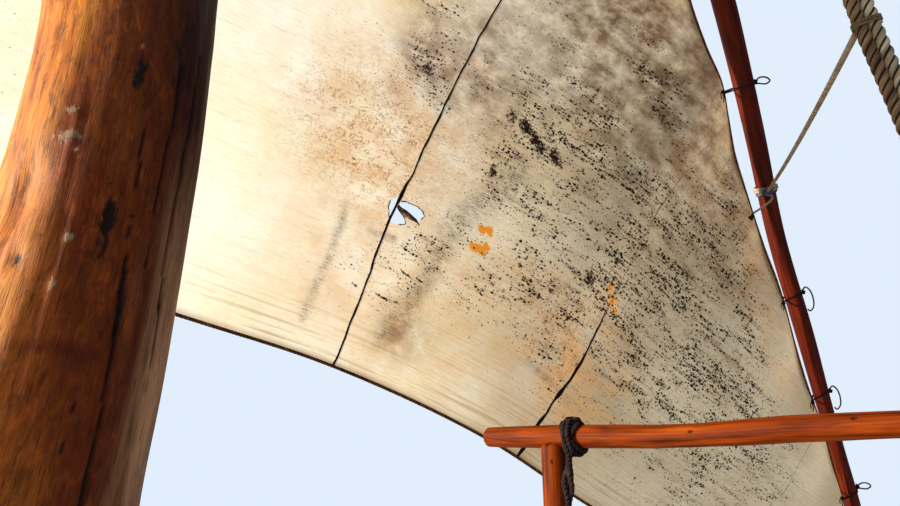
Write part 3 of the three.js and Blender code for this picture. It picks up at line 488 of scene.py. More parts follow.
class Value:
    """Output of a node, worked with like a number."""

    def __init__(self, nodes, socket):
        self.nodes, self.socket = nodes, socket

    def calc(self, operation, *others):
        return self.nodes.put("ShaderNodeMath", dict(enumerate((self, *others))), operation=operation)

    def __mul__(self, other):
        return self.calc("MULTIPLY", other)

    def __add__(self, other):
        return self.calc("ADD", other)

    def __sub__(self, other):
        return self.calc("SUBTRACT", other)

    def spread(self, low, high, to_low=0.0, to_high=1.0):
        """The stretch from low to high carried to another stretch and held at its ends."""
        inputs = {"Value": self, "From Min": low, "From Max": high, "To Min": to_low, "To Max": to_high}
        return self.nodes.put("ShaderNodeMapRange", inputs)


class Nodes:
    """Nodes of one tree. An input takes a number, another node's value or a colour as a screen shows it."""

    def __init__(self, tree):
        self.tree = tree

    def give(self, socket, value):
        if isinstance(value, Value):
            self.tree.links.new(value.socket, socket)
        elif socket.type == "RGBA":
            socket.default_value = (*tone(*value), 1.0)
        else:
            socket.default_value = value

    def put(self, kind, inputs=None, output=0, **settings):
        node = self.tree.nodes.new(kind)
        for key, value in settings.items():
            setattr(node, key, value)
        for key, value in (inputs or {}).items():
            self.give(node.inputs[key], value)
        return Value(self, node.outputs[output])

    def mixed(self, share, a, b):
        return self.put("ShaderNodeMix", {0: share, 6: a, 7: b}, 2, data_type="RGBA")

    def ramp(self, value, *stops):
        """Colour from a value. Each stop has a place and a colour."""
        colour = self.put("ShaderNodeValToRGB", {"Fac": value})
        elements = colour.socket.node.color_ramp.elements
        while len(elements) < len(stops):
            elements.new(0.5)
        for element, (place, *screen) in zip(elements, stops):
            element.position = place
            element.color = (*tone(*screen), 1.0)
        return colour

    def places(self, stretch=(1, 1), shift=(0, 0), own=True):
        """Stretched texture places: the piece's own map, or the object's frame."""
        if own:
            source = self.put("ShaderNodeUVMap", uv_map="surface")
        else:
            source = self.put("ShaderNodeTexCoord", output="Object")
        inputs = {"Vector": source, "Scale": (*stretch, 1)[:3], "Location": (*shift, 0)}
        return self.put("ShaderNodeMapping", inputs)

    def noise(self, stretch, detail=3.0, rough=0.55, twist=0.0, shift=(0, 0), own=True):
        """Noise of so many cells a metre: one number, or one for each way."""
        if not isinstance(stretch, tuple):
            stretch = (stretch, stretch, stretch)
        inputs = {"Vector": self.places(stretch, shift, own), "Scale": 1.0}
        inputs |= {"Detail": detail, "Roughness": rough, "Distortion": twist}
        return self.put("ShaderNodeTexNoise", inputs)

    def cells(self, stretch, shift=(0, 0)):
        """Distance from the nearest of many scattered points."""
        inputs = {"Vector": self.places(stretch, shift), "Scale": 1.0}
        return self.put("ShaderNodeTexVoronoi", inputs, "Distance", voronoi_dimensions="2D")

    def map_part(self, axis):
        return self.put("ShaderNodeSeparateXYZ", {"Vector": self.places()}, axis)

    def mask(self, name):
        return self.put("ShaderNodeAttribute", output="Fac", attribute_name=name)


class Finish(Nodes):
    """A material, painted coat by coat."""

    def __init__(self, name, roughness=0.8, specular=0.35, metallic=0.0):
        self.material = bpy.data.materials.new(name)
        self.material.use_nodes = True
        super().__init__(self.material.node_tree)
        self.shader = self.tree.nodes["Principled BSDF"]
        self.colour = self.normal = None
        inputs = {"Roughness": roughness, "Specular IOR Level": specular, "Metallic": metallic}
        for key, value in inputs.items():
            self.give(self.shader.inputs[key], value)

    def paint(self, colour, share):
        self.colour = self.mixed(share, self.colour, colour)

    def bump(self, height, distance, strength=1.0):
        inputs = {"Height": height, "Distance": distance, "Strength": strength}
        if self.normal:
            inputs["Normal"] = self.normal
        self.normal = self.put("ShaderNodeBump", inputs)

    def done(self, roughness=None, glow=0.0, glow_inputs=None):
        """The finished material. The glow is the share of light that shines through thin cloth."""
        for key, value in (("Base Color", self.colour), ("Roughness", roughness), ("Normal", self.normal)):
            if value:
                self.give(self.shader.inputs[key], value)
        if glow:
            through = self.put("ShaderNodeBsdfTranslucent", {"Color": self.colour, **(glow_inputs or {})})
            surface = Value(self, self.shader.outputs[0])
            both = self.put("ShaderNodeMixShader", {0: glow, 1: surface, 2: through})
            self.give(self.tree.nodes["Material Output"].inputs["Surface"], both)
        return self.material


# Materials
def paint_specks(cloth, load, size, keep, dark):
    """Round mould spots of many sizes, denser where the load is higher."""
    away = cloth.cells((0.85 / size, 1.0 / size), (size * 900, 2.3))
    lucky = cloth.put("ShaderNodeSeparateColor", {"Color": Value(cloth, away.socket.node.outputs["Color"])})
    reach = ((load - lucky * 1.15) * (keep * 1.5)).calc("MINIMUM", keep)
    cloth.paint(dark, (reach - away).spread(-0.09, 0.07))


def paint_canvas_ground(cloth, threads):
    """Pale canvas with its threads and scuffs; its tone is painted light, brightest towards the leech and
    darker towards the tack as painted shade.
    """
    painted_light_falloff = cloth.mask("painted_light_falloff")
    bright = ((0.05, 253, 252, 244), (0.34, 241, 232, 208), (0.60, 190, 180, 158), (0.90, 194, 187, 168))
    dull = ((0.05, 249, 242, 216), (0.34, 226, 208, 172), (0.60, 166, 153, 129), (0.90, 174, 164, 144))
    cloud = cloth.noise(2.3, 4, 0.6).spread(0.38, 0.66)
    cloth.colour = cloth.mixed(cloud, cloth.ramp(painted_light_falloff, *bright), cloth.ramp(painted_light_falloff, *dull))
    cloth.paint((150, 122, 82), threads.spread(0.42, 0.75, 0.0, 0.22))
    cloth.paint((160, 128, 84), cloth.noise((9, 90), 4, 0.7, 1.2, (4, 9)).spread(0.56, 0.74, 0.0, 0.32))


def paint_canvas_stains(cloth, fine):
    """Ochre and umber stains, rusty veins and spots of rust."""
    cloth.paint((212, 154, 82), cloth.mask("ochre") * cloth.noise(7, 4, 0.6).spread(0.36, 0.62) * 0.62)
    cloth.paint((104, 70, 42), cloth.mask("umber") * cloth.noise(13, 4, 0.65).spread(0.3, 0.6) * 0.9)
    bends = (cloth.noise((26, 30), 3, 0.6, 1.6) - 0.5).calc("ABSOLUTE")
    cloth.paint((158, 98, 42), bends.spread(0.034, 0.008) * cloth.mask("vein") * fine.spread(0.36, 0.56))
    rust = cloth.noise(60, 3, 0.6) * 0.5 + cloth.mask("orange")
    cloth.paint((236, 184, 104), rust.spread(0.46, 0.64, 0.0, 0.55))
    cloth.paint((226, 146, 52), rust.spread(0.62, 0.72))


def paint_canvas_mould(cloth, fine):
    """Mildew bands along the threads, heaps of mould specks and dark clots."""
    band = cloth.mask("mildew") * fine.spread(0.32, 0.56, 0.3, 1.0)
    cloth.paint((120, 108, 84), band * cloth.noise((6, 70), 4, 0.65, 0.4).spread(0.3, 0.66, 0.05, 0.5))
    dashes = cloth.noise((42, 210), 3, 0.7, 0.0, (2, 3)).spread(0.44, 0.58)
    cloth.paint((52, 44, 34), band * dashes * cloth.noise((150, 330), 2, 0.7).spread(0.40, 0.56) * 0.92)
    heaps = cloth.noise((5, 12), 3, 0.6, 0.6, (3.1, 1.7)).spread(0.36, 0.62, 0.35, 1.15)
    rows = cloth.noise((9, 52), 3, 0.6, 0.0, (1.3, 4.1))
    load = cloth.mask("mould") * heaps * rows.spread(0.36, 0.62, 0.62, 1.2)
    haze = load.spread(0.35, 0.95, 0.0, 0.7) * rows.spread(0.42, 0.62) * fine.spread(0.3, 0.6, 0.2, 0.8)
    cloth.paint((78, 60, 46), haze)
    paint_specks(cloth, load * 0.8, 0.0230, 0.27, (34, 20, 17))
    paint_specks(cloth, load, 0.0145, 0.33, (24, 16, 14))
    paint_specks(cloth, load * 0.95, 0.0088, 0.36, (32, 23, 19))
    clot = cloth.noise(75, 5, 0.8) * 1.3 + cloth.mask("clot")
    cloth.paint((36, 20, 16), clot.spread(1.08, 1.18))


def canvas_material():
    cloth = Finish("canvas", 0.92, 0.1)
    fine = cloth.noise(24, 4, 0.65)
    threads = cloth.noise((26, 420), 2, 0.6)
    paint_canvas_ground(cloth, threads)
    paint_canvas_stains(cloth, fine)
    paint_canvas_mould(cloth, fine)
    cloth.paint((120, 78, 36), cloth.mask("hem"))
    creases = cloth.noise((2, 80), 3, 0.5)
    folds = cloth.mask("crease")
    cloth.paint((134, 102, 60), folds * creases.spread(0.54, 0.66, 0.0, 0.5))
    cloth.bump(creases, 0.004, folds * 0.8 + 0.5)
    cloth.bump(threads, 0.0006, 0.5)
    cloth.bump(cloth.noise((900, 900), 1, 0.5), 0.0004, 0.4)
    return cloth.done(glow=0.5, glow_inputs={"Normal": cloth.normal})


def mast_material():
    wood = Finish("mast_wood", specular=0.12)
    lines = wood.noise((105, 11), 6, 0.68, 0.5)
    bands = wood.noise((21, 3.4), 4, 0.6, 0.6, (5, 0))
    hair = wood.noise((430, 26), 3, 0.7)
    flakes = wood.noise((130, 85), 4, 0.65)
    stops = [(0.34, 112, 52, 10), (0.44, 152, 82, 22), (0.52, 176, 106, 34), (0.60, 192, 126, 46)]
    ground = wood.ramp(lines * 0.45 + bands * 0.55, *stops, (0.72, 210, 152, 74))
    # Painted shade: past the sunlit side marked by the worn mask, the colour is darkened towards deep brown.
    wood.colour = wood.mixed(wood.mask("worn"), wood.mixed(0.86, ground, (82, 23, 0)), ground)
    mottle = wood.noise((75, 34), 5, 0.72, 0.8, (3, 8))
    wood.paint((46, 12, 2), mottle.spread(0.50, 0.36, 0.0, 0.5))
    wood.paint((176, 88, 26), mottle.spread(0.54, 0.72, 0.0, 0.45))
    grey = wood.mixed(bands.spread(0.3, 0.7), (84, 44, 20), (190, 144, 104))
    wood.paint(grey, wood.mask("grey") * bands.spread(0.3, 0.6, 0.4, 0.9))
    # Painted shade: the side away from the sun is darkened near black, most of all higher up.
    wood.paint((16, 4, 3), wood.mask("dark") * lines.spread(0.7, 0.35, 0.60, 0.97))
    bark = (flakes * 0.9 + wood.mask("bark")).spread(0.80, 1.10)
    wood.paint((152, 92, 50), bark * 0.36)
    wood.paint((50, 18, 5), hair.spread(0.52, 0.68, 0.0, 0.75))
    stain = wood.noise((120, 40), 5, 0.75) * 1.8 + wood.mask("stain")
    wood.paint((22, 7, 4), stain.spread(1.26, 1.52))
    wood.paint((62, 12, 4), wood.mask("smear") * 0.7)
    lichen = (flakes * 0.95 + wood.mask("lichen")).spread(0.90, 1.10)
    wood.paint((140, 128, 104), lichen * 0.62)
    # Painted shade: the cracks are painted near black inside.
    wood.paint((14, 6, 5), wood.mask("crack"))
    wood.bump(lines, 0.0016, 0.5)
    wood.bump(hair, 0.0008, 0.6)
    wood.bump(lichen, 0.0012, 0.7)
    crust = lichen.calc("MAXIMUM", bark) * 0.85
    return wood.done(lines.spread(0.3, 0.7, 0.45, 0.72).calc("MAXIMUM", crust))


def pole_material(name, stops, roughness, knots, specular=0.4):
    """Oiled or varnished pole: long grain lines, darker knots and fine hairlines."""
    wood = Finish(name, specular=specular)
    darkest = stops[0][1:]
    lines = wood.noise((110, 2.6), 4, 0.6, 0.5)
    bands = wood.noise((30, 4.5), 3, 0.5, 0.4, (2, 7))
    hair = wood.noise((700, 14), 3, 0.6)
    wood.colour = wood.ramp(lines * 0.5 + bands * 0.5, *stops)
    wood.paint(darkest, hair.spread(0.54, 0.72, 0.0, 0.5))
    wood.paint(darkest, wood.cells((9, 5.2)).spread(knots, knots * 0.4))
    wood.bump(lines, 0.002, 0.5)
    wood.bump(hair, 0.0008, 0.6)
    return wood.done(bands.spread(0.3, 0.7, *roughness))


def timber_material(name, stretch):
    """Grey sawn timber; its grain runs along the axis with the smallest stretch."""
    wood = Finish(name, specular=0.25)
    lines = wood.noise(stretch, 5, 0.65, 0.3, own=False)
    blotch = wood.noise(5, 4, 0.6, own=False)
    stops = [(0.30, 66, 48, 34), (0.46, 104, 80, 58), (0.60, 134, 108, 80), (0.74, 156, 132, 102)]
    wood.colour = wood.ramp(lines, *stops)
    wood.paint((62, 46, 36), blotch.spread(0.5, 0.75, 0.0, 0.5))
    wood.bump(lines, 0.006, 0.7)
    wood.bump(wood.noise(260, 3, 0.6, own=False), 0.0015, 0.5)
    return wood.done(blotch.spread(0.3, 0.7, 0.62, 0.88))


def iron_material():
    iron = Finish("rusty_iron", specular=0.5, metallic=0.35)
    blotch = iron.noise(60, 5, 0.65, own=False)
    iron.colour = iron.ramp(blotch, (0.35, 40, 34, 32), (0.52, 84, 50, 34), (0.68, 134, 74, 40))
    iron.bump(iron.noise(420, 4, 0.7, own=False), 0.0012, 0.7)
    return iron.done(blotch.spread(0.35, 0.65, 0.5, 0.9))


def rope_material(name, dark, middle, light, yarn=0.0018, girth=None):
    """Laid fibre: yarns across the strands, worn light on top. With a girth, its three grooves are painted
    dark as painted shade.
    """
    fibre = Finish(name, 0.9, 0.15)
    slant = fibre.map_part("Y") * YARN_SLANT + fibre.map_part("X")
    wobble = fibre.noise((90, 40), 2, 0.5) * 9.0
    yarns = (slant * (TAU / yarn) + wobble).calc("SINE") * 0.5 + 0.5
    fuzz = fibre.noise((900, 500), 2, 0.6)
    fibre.colour = fibre.ramp(fibre.noise((30, 9), 4, 0.65), (0.32, *dark), (0.5, *middle), (0.68, *light))
    fibre.paint(dark, yarns * 0.35)
    fibre.paint(light, fuzz.spread(0.5, 0.8, 0.0, 0.35))
    if girth:
        # Painted shade in the three grooves between the strands.
        groove_shade = (fibre.map_part("X") * (3 * TAU / girth)).calc("COSINE")
        fibre.paint((34, 23, 15), groove_shade.spread(-0.30, -0.98))
    fibre.bump(yarns, 0.0008, 0.8)
    fibre.bump(fuzz, 0.0006, 0.7)
    return fibre.done()


def seam_material():
    """Stitched seam: clean thread where its dirt is slight, and black with it elsewhere."""
    thread = Finish("seam_thread", 0.9, 0.15)
    blotch = thread.noise((60, 7), 4, 0.6)
    stitches = (thread.map_part("Y") * (TAU / STITCH)).calc("SINE")
    black = thread.ramp(blotch, (0.34, 18, 12, 10), (0.52, 44, 28, 20), (0.74, 96, 70, 46))
    thread.colour = thread.ramp(blotch, (0.34, 132, 116, 90), (0.52, 184, 170, 142), (0.70, 206, 196, 170))
    thread.paint((92, 72, 50), stitches.spread(0.6, 0.9, 0.0, 0.5))
    thread.paint(black, (blotch * 0.7 + thread.mask("dirt")).spread(0.62, 0.86))
    thread.bump(stitches, 0.0012, 0.7)
    return thread.done(glow=0.55)


def flap_material():
    cloth = Finish("torn_canvas", 0.95, 0.1)
    blotch = cloth.noise((160, 60), 3, 0.6)
    cloth.colour = cloth.ramp(blotch, (0.35, 40, 26, 24), (0.52, 84, 58, 48), (0.70, 168, 128, 104))
    cloth.bump(blotch, 0.001, 0.6)
    return cloth.done()


def floor_material():
    floor = Finish("pale_floor", 0.85, 0.2)
    floor.colour = floor.ramp(floor.noise(1.5, own=False), (0.3, 214, 211, 206), (0.7, 224, 221, 216))
    return floor.done()


YARN_SLANT = 1.37
STITCH = 0.011
SPAR_STOPS = [(0.32, 24, 3, 0), (0.48, 62, 12, 0), (0.60, 86, 21, 2), (0.74, 108, 34, 6)]
VARNISH_STOPS = [(0.36, 40, 10, 0), (0.46, 84, 28, 0), (0.55, 108, 42, 0), (0.68, 134, 62, 4)]
HARDWOOD_STOPS = [(0.34, 36, 24, 18), (0.48, 66, 44, 30), (0.60, 92, 64, 44), (0.72, 112, 82, 58)]
FALL_GIRTH = TAU * float(np.mean(strand_outline(FALL_RADIUS, points=FALL_POINTS_AROUND)))

CANVAS = canvas_material()
SEAM = seam_material()
FLAP = flap_material()
MAST_WOOD = mast_material()
SPAR_WOOD = pole_material("spar_wood", SPAR_STOPS, (0.42, 0.56), 0.05, 0.10)
VARNISHED = pole_material("varnished_wood", VARNISH_STOPS, (0.5, 0.7), 0.045, 0.06)
HARDWOOD = pole_material("dark_hardwood", HARDWOOD_STOPS, (0.4, 0.6), 0.05)
TIMBER = timber_material("weathered_timber", (3, 26, 26))
BEAM_TIMBER = timber_material("beam_timber", (26, 3, 26))
IRON = iron_material()
MANILA = rope_material("manila_rope", (74, 64, 52), (172, 160, 138), (214, 204, 184))
MANILA_OLD = rope_material("manila_rope_old", (50, 40, 30), (116, 100, 78), (160, 142, 116))
# Lit and shaded copies of one halyard rope: the aft fall's darker copy is painted shade.
FALL_LIT = rope_material("halyard_rope", (96, 84, 66), (176, 164, 140), (218, 208, 188), girth=FALL_GIRTH)
FALL_SHADED = rope_material("halyard_rope_shaded", (58, 42, 30), (122, 100, 76), (172, 150, 120), girth=FALL_GIRTH)
BOLT = rope_material("bolt_rope", (34, 20, 10), (92, 58, 24), (146, 100, 48), 0.0014)
# Pale cord, its tones raised as painted light, since the sun does not reach the guy and the hitch.
WHITE_CORD = rope_material("white_cord", (96, 78, 62), (168, 150, 128), (206, 192, 172), 0.0014)
BLUE_CORD = rope_material("blue_grey_cord", (34, 38, 50), (86, 94, 112), (138, 148, 166), 0.0012)
TARRED = rope_material("tarred_rope", (16, 10, 12), (38, 26, 28), (66, 48, 48), 0.0016)


# Sail: one sheet over all cloths, with its torn hole
SAIL_FIRST = 0.006
FINE_SHARES = (0.085, 0.430)
HOLE_CELLS = (0.3455, 0.3665, 0.205, 0.278)
# Outlines of the hole's two parts: share of the foot, share of the way up
HOLE_RIGHT = [
    (0.3595, 0.2548), (0.3579, 0.259), (0.3556, 0.2626), (0.3531, 0.2654), (0.3514, 0.2655), (0.35, 0.2637),
    (0.3489, 0.2608), (0.3496, 0.2536), (0.3505, 0.2463), (0.3515, 0.2484), (0.3544, 0.2461),
    (0.3569, 0.2437), (0.3591, 0.2446),
]
HOLE_LEFT = [
    (0.362, 0.2549), (0.3608, 0.2576), (0.3603, 0.252), (0.3603, 0.2444), (0.3588, 0.2418), (0.3572, 0.24),
    (0.3558, 0.2381), (0.3543, 0.2324), (0.3554, 0.2271), (0.3566, 0.2232), (0.3589, 0.2194),
    (0.3604, 0.2199), (0.3613, 0.2248), (0.3621, 0.2301), (0.3633, 0.2365), (0.3635, 0.2455),
]
# Size in metres of one share of the foot, and beside the hole of one share of the way up
FOOT_LENGTH = 9.3
SHARE_SIZES = np.array([FOOT_LENGTH, 2.53])
# For each mask: share of the foot, share of the way up, half length along the threads, half height, weight
BLOTS = {
    "mould": [
        (0.256, 0.64, 0.2, 0.1, 0.8), (0.242, 0.7, 0.16, 0.09, 0.9), (0.228, 0.79, 0.16, 0.11, 0.95),
        (0.212, 0.64, 0.14, 0.1, 0.9), (0.203, 0.69, 0.12, 0.09, 0.8), (0.275, 0.6, 0.2, 0.13, 0.72),
        (0.268, 0.53, 0.22, 0.12, 0.72), (0.246, 0.43, 0.24, 0.12, 0.62), (0.23, 0.56, 0.4, 0.2, 0.52),
        (0.197, 0.52, 0.34, 0.26, 0.46), (0.215, 0.44, 0.4, 0.2, 0.44), (0.24, 0.35, 0.3, 0.12, 0.44),
        (0.176, 0.4, 0.4, 0.26, 0.36), (0.3, 0.64, 0.2, 0.14, 0.62), (0.316, 0.62, 0.12, 0.1, 0.25),
        (0.296, 0.84, 0.14, 0.1, 0.85), (0.3, 0.56, 0.3, 0.12, 0.5), (0.321, 0.535, 0.1, 0.08, 0.9),
        (0.327, 0.44, 0.1, 0.12, 0.85), (0.336, 0.5, 0.08, 0.08, 0.4), (0.345, 0.59, 0.1, 0.1, 0.34),
        (0.372, 0.44, 0.08, 0.06, 0.66), (0.373, 0.505, 0.08, 0.1, 0.6), (0.355, 0.5, 0.06, 0.05, 0.62),
        (0.295, 0.32, 0.16, 0.1, 0.62), (0.31, 0.4, 0.3, 0.16, 0.38), (0.337, 0.24, 0.16, 0.14, 0.42),
        (0.345, 0.16, 0.18, 0.14, 0.46), (0.3, 0.24, 0.36, 0.12, 0.42), (0.272, 0.19, 0.14, 0.1, 0.52),
        (0.226, 0.87, 0.3, 0.2, 0.45), (0.205, 0.3, 0.4, 0.3, 0.34), (0.185, 0.6, 0.24, 0.2, 0.38),
        (0.386, 0.38, 0.22, 0.14, 0.3), (0.3107, 0.6466, 0.13, 0.1, 0.85), (0.3175, 0.5313, 0.1, 0.07, 0.8),
        (0.2892, 0.4779, 0.1, 0.08, 0.8), (0.2837, 0.4275, 0.12, 0.07, 0.75),
        (0.2675, 0.5043, 0.16, 0.08, 0.8), (0.2873, 0.3248, 0.13, 0.06, 0.7),
        (0.2711, 0.3937, 0.14, 0.06, 0.7), (0.2367, 0.7024, 0.16, 0.08, 0.7),
        (0.2114, 0.7484, 0.16, 0.08, 0.6), (0.3001, 0.8245, 0.14, 0.07, 0.6),
        (0.2648, 0.7963, 0.14, 0.1, 0.6), (0.2475, 0.9042, 0.1, 0.1, 0.6),
        (0.3635, 0.4291, 0.05, 0.05, 0.6), (0.3793, 0.4349, 0.05, 0.04, 0.8),
        (0.381, 0.505, 0.09, 0.05, 0.6), (0.3532, 0.4853, 0.1, 0.06, 0.55),
        (0.3429, 0.6828, 0.1, 0.08, 0.55), (0.1752, 0.5096, 0.16, 0.06, 0.65),
        (0.1515, 0.7258, 0.14, 0.07, 0.55), (0.1502, 0.5409, 0.14, 0.07, 0.55),
        (0.3632, 0.1367, 0.06, 0.05, 0.35), (0.3681, 0.1234, 0.06, 0.04, 0.3),
    ],
    "mildew": [
        (0.256, 0.6, 0.3, 0.1, 0.3), (0.236, 0.75, 0.22, 0.1, 0.34), (0.341, 0.47, 0.05, 0.18, 0.42),
        (0.36, 0.44, 0.06, 0.2, 0.28),
    ],
    "clot": [
        (0.3259, 0.5456, 0.058, 0.049, 0.44), (0.321, 0.5393, 0.068, 0.042, 0.46),
        (0.3172, 0.5375, 0.051, 0.038, 0.44), (0.3313, 0.5318, 0.041, 0.034, 0.4),
        (0.3229, 0.4161, 0.022, 0.038, 0.5), (0.3263, 0.4327, 0.017, 0.034, 0.44),
        (0.3304, 0.4348, 0.034, 0.027, 0.39), (0.2813, 0.4107, 0.027, 0.034, 0.52),
        (0.2766, 0.4481, 0.017, 0.019, 0.42), (0.3718, 0.442, 0.068, 0.038, 0.32),
        (0.2963, 0.309, 0.027, 0.03, 0.4), (0.2931, 0.3357, 0.017, 0.027, 0.39),
        (0.266, 0.2925, 0.024, 0.057, 0.39), (0.2664, 0.2486, 0.02, 0.057, 0.39),
        (0.212, 0.635, 0.068, 0.038, 0.37), (0.222, 0.84, 0.085, 0.049, 0.37),
        (0.296, 0.842, 0.085, 0.046, 0.36), (0.244, 0.39, 0.034, 0.023, 0.39),
        (0.3373, 0.5007, 0.041, 0.042, 0.55), (0.3248, 0.5111, 0.075, 0.042, 0.62),
        (0.3163, 0.5236, 0.061, 0.034, 0.62), (0.331, 0.5113, 0.051, 0.046, 0.62),
        (0.3337, 0.405, 0.024, 0.042, 0.6), (0.2813, 0.4107, 0.037, 0.038, 0.62),
        (0.3741, 0.4367, 0.051, 0.034, 0.52), (0.3558, 0.5244, 0.031, 0.027, 0.5),
        (0.2921, 0.3279, 0.037, 0.034, 0.53), (0.3075, 0.3163, 0.031, 0.027, 0.5),
    ],
    "orange": [
        (0.327, 0.3132, 0.019, 0.017, 0.72), (0.3243, 0.32, 0.021, 0.016, 0.72),
        (0.3266, 0.2783, 0.023, 0.017, 0.72), (0.3238, 0.2845, 0.026, 0.018, 0.72),
        (0.3223, 0.2966, 0.016, 0.013, 0.72), (0.3264, 0.2529, 0.014, 0.01, 0.46),
        (0.2712, 0.4452, 0.014, 0.024, 0.62), (0.2676, 0.4288, 0.018, 0.026, 0.68),
        (0.2642, 0.4189, 0.014, 0.018, 0.62),
    ],
    "vein": [
        (0.383, 0.275, 0.22, 0.14, 0.9), (0.376, 0.35, 0.16, 0.14, 0.55), (0.282, 0.31, 0.16, 0.1, 0.9),
        (0.27, 0.27, 0.12, 0.12, 0.7), (0.347, 0.4, 0.16, 0.14, 0.5), (0.3791, 0.3151, 0.16, 0.14, 0.95),
        (0.3888, 0.2905, 0.14, 0.12, 0.95), (0.3758, 0.2681, 0.1, 0.08, 0.8),
        (0.2809, 0.2768, 0.12, 0.08, 0.95),
    ],
    "ochre": [
        (0.372, 0.23, 0.1, 0.2, 0.7), (0.3578, 0.275, 0.08, 0.08, 0.9), (0.365, 0.42, 0.2, 0.3, 0.7),
        (0.36, 0.12, 0.28, 0.16, 0.5), (0.262, 0.19, 0.16, 0.12, 1), (0.248, 0.24, 0.14, 0.1, 0.9),
        (0.272, 0.29, 0.2, 0.2, 0.6), (0.306, 0.26, 0.36, 0.16, 0.4), (0.335, 0.08, 0.4, 0.16, 0.55),
        (0.41, 0.42, 0.5, 0.5, 0.3), (0.23, 0.94, 0.9, 0.16, 0.5), (0.3874, 0.2757, 0.2, 0.14, 0.85),
        (0.3827, 0.3529, 0.16, 0.12, 0.8), (0.3716, 0.2394, 0.1, 0.1, 0.75),
        (0.3227, 0.1877, 0.2, 0.12, 0.45), (0.2722, 0.1963, 0.12, 0.08, 0.9),
        (0.3411, 0.0851, 0.1, 0.08, 0.6),
    ],
    "umber": [
        (0.319, 0.83, 0.3, 0.5, 0.9), (0.356, 0.56, 0.12, 0.18, 0.55), (0.3716, 0.4445, 0.1, 0.07, 0.85),
        (0.35, 0.5, 0.1, 0.1, 0.5), (0.296, 0.88, 0.4, 0.3, 0.75), (0.26, 0.94, 0.5, 0.24, 0.6),
        (0.285, 0.64, 0.3, 0.2, 0.35), (0.274, 0.175, 0.1, 0.014, 0.8), (0.338, 0.085, 0.08, 0.08, 0.65),
        (0.3793, 0.4349, 0.075, 0.06, 0.75), (0.3811, 0.4872, 0.08, 0.07, 0.55),
        (0.3561, 0.4687, 0.08, 0.06, 0.5), (0.3622, 0.5372, 0.14, 0.09, 0.5),
        (0.3136, 0.8361, 0.36, 0.2, 0.55), (0.3292, 0.7675, 0.3, 0.2, 0.45),
        (0.3811, 0.3647, 0.05, 0.04, 0.5), (0.3408, 0.0942, 0.05, 0.04, 0.4),
    ],
}
# Mildew bands and short dirty strokes: mask, half width in metres, weight, then shares as above
STROKES = [
    ("mildew", 0.04, 1, [
        (0.3246, 0.4477), (0.3285, 0.3904), (0.3331, 0.3399), (0.3362, 0.2943), (0.3375, 0.2551),
        (0.338, 0.2126),
    ]),
    ("mildew", 0.032, 0.85, [
        (0.338, 0.2126), (0.3383, 0.1733), (0.3404, 0.1327), (0.3427, 0.0984), (0.3444, 0.067),
    ]),
    ("umber", 0.026, 0.42, [(0.337, 0.19), (0.339, 0.1327), (0.342, 0.0984), (0.3444, 0.067)]),
    ("mildew", 0.013, 0.85, [(0.377, 0.19), (0.376, 0.15), (0.3758, 0.1072), (0.3758, 0.0437)]),
    ("umber", 0.011, 0.4, [(0.3781, 0.2012), (0.3765, 0.165)]),
    ("mildew", 0.03, 0.55, [
        (0.3335, 0.6479), (0.3352, 0.6042), (0.3371, 0.5614), (0.339, 0.5193), (0.341, 0.4781),
    ]),
    ("clot", 0.0075, 0.66, [(0.3541, 0.1174), (0.35, 0.118), (0.3445, 0.121)]),
    ("clot", 0.007, 0.66, [(0.3479, 0.1668), (0.343, 0.17), (0.3373, 0.1763)]),
    ("umber", 0.009, 0.95, [(0.3656, 0.1893), (0.36, 0.195), (0.3558, 0.2032)]),
    ("clot", 0.0065, 0.62, [(0.3656, 0.1074), (0.3618, 0.1119)]),
    ("umber", 0.02, 0.75, [(0.2714, 0.6392), (0.2572, 0.671), (0.242, 0.6899)]),
    ("umber", 0.016, 0.7, [(0.2544, 0.729), (0.2364, 0.7697)]),
    ("umber", 0.016, 0.7, [(0.2308, 0.7829), (0.2127, 0.8516)]),
    ("umber", 0.014, 0.6, [(0.217, 0.6453), (0.198, 0.6841)]),
    ("umber", 0.014, 0.45, [(0.2679, 0.3743), (0.2497, 0.3972)]),
]


def inside(polygon, across, up):
    """Whether places lie inside a polygon."""
    found = np.zeros(np.shape(across), bool)
    for (x0, y0), (x1, y1) in zip(polygon, np.roll(polygon, -1, axis=0)):
        crosses = (y0 > up) != (y1 > up)
        with np.errstate(divide="ignore", invalid="ignore"):
            found ^= crosses & (across < (x1 - x0) * (up - y0) / (y1 - y0) + x0)
    return found


def ragged(polygon, seed):
    """A torn outline: each side cut into short steps that wander from it."""
    rng = np.random.default_rng(seed)
    polygon = np.asarray(polygon, float) * SHARE_SIZES
    points = []
    for a, b in zip(polygon, np.roll(polygon, -1, axis=0)):
        side = b - a
        across = np.array([-side[1], side[0]]) / max(np.linalg.norm(side), 1e-6)
        for n in range(TEAR_STEPS):
            points.append(a + side * n / TEAR_STEPS + across * rng.uniform(-TEAR_DEPTH, TEAR_DEPTH) * (n > 0))
    return np.array(points) / SHARE_SIZES


TEAR_STEPS = 5
TEAR_DEPTH = 0.0022
HOLES = [ragged(HOLE_RIGHT, 21), ragged(HOLE_LEFT, 22)]


# Metres of canvas for one share of the foot, a cloth's rough length at the tack and its gain to the leech
CANVAS_SPAN = 9.0
CLOTH_LENGTH = 1.35
CLOTH_GAIN = 8.4
# Soft waves: seed, height, cells a metre along the foot and up the cloth
WAVES = [(3, 0.006, 1.3, 1.1), (4, 0.0025, 4.0, 3.0)]
# Tension folds over the foot: the same, and how far up they reach
FOLDS = [(5, 0.0030, 2.2, 26, 0.16), (6, 0.0016, 2.2, 60, 0.12)]
# Scallops under the luff: height, radians for one share of the foot, how far down they reach
SCALLOPS = (0.006, 148, 0.28)
# Puckers beside the seams: height, reach from the seam, cells a metre up
PUCKERS = (0.0018, 0.05, 22)


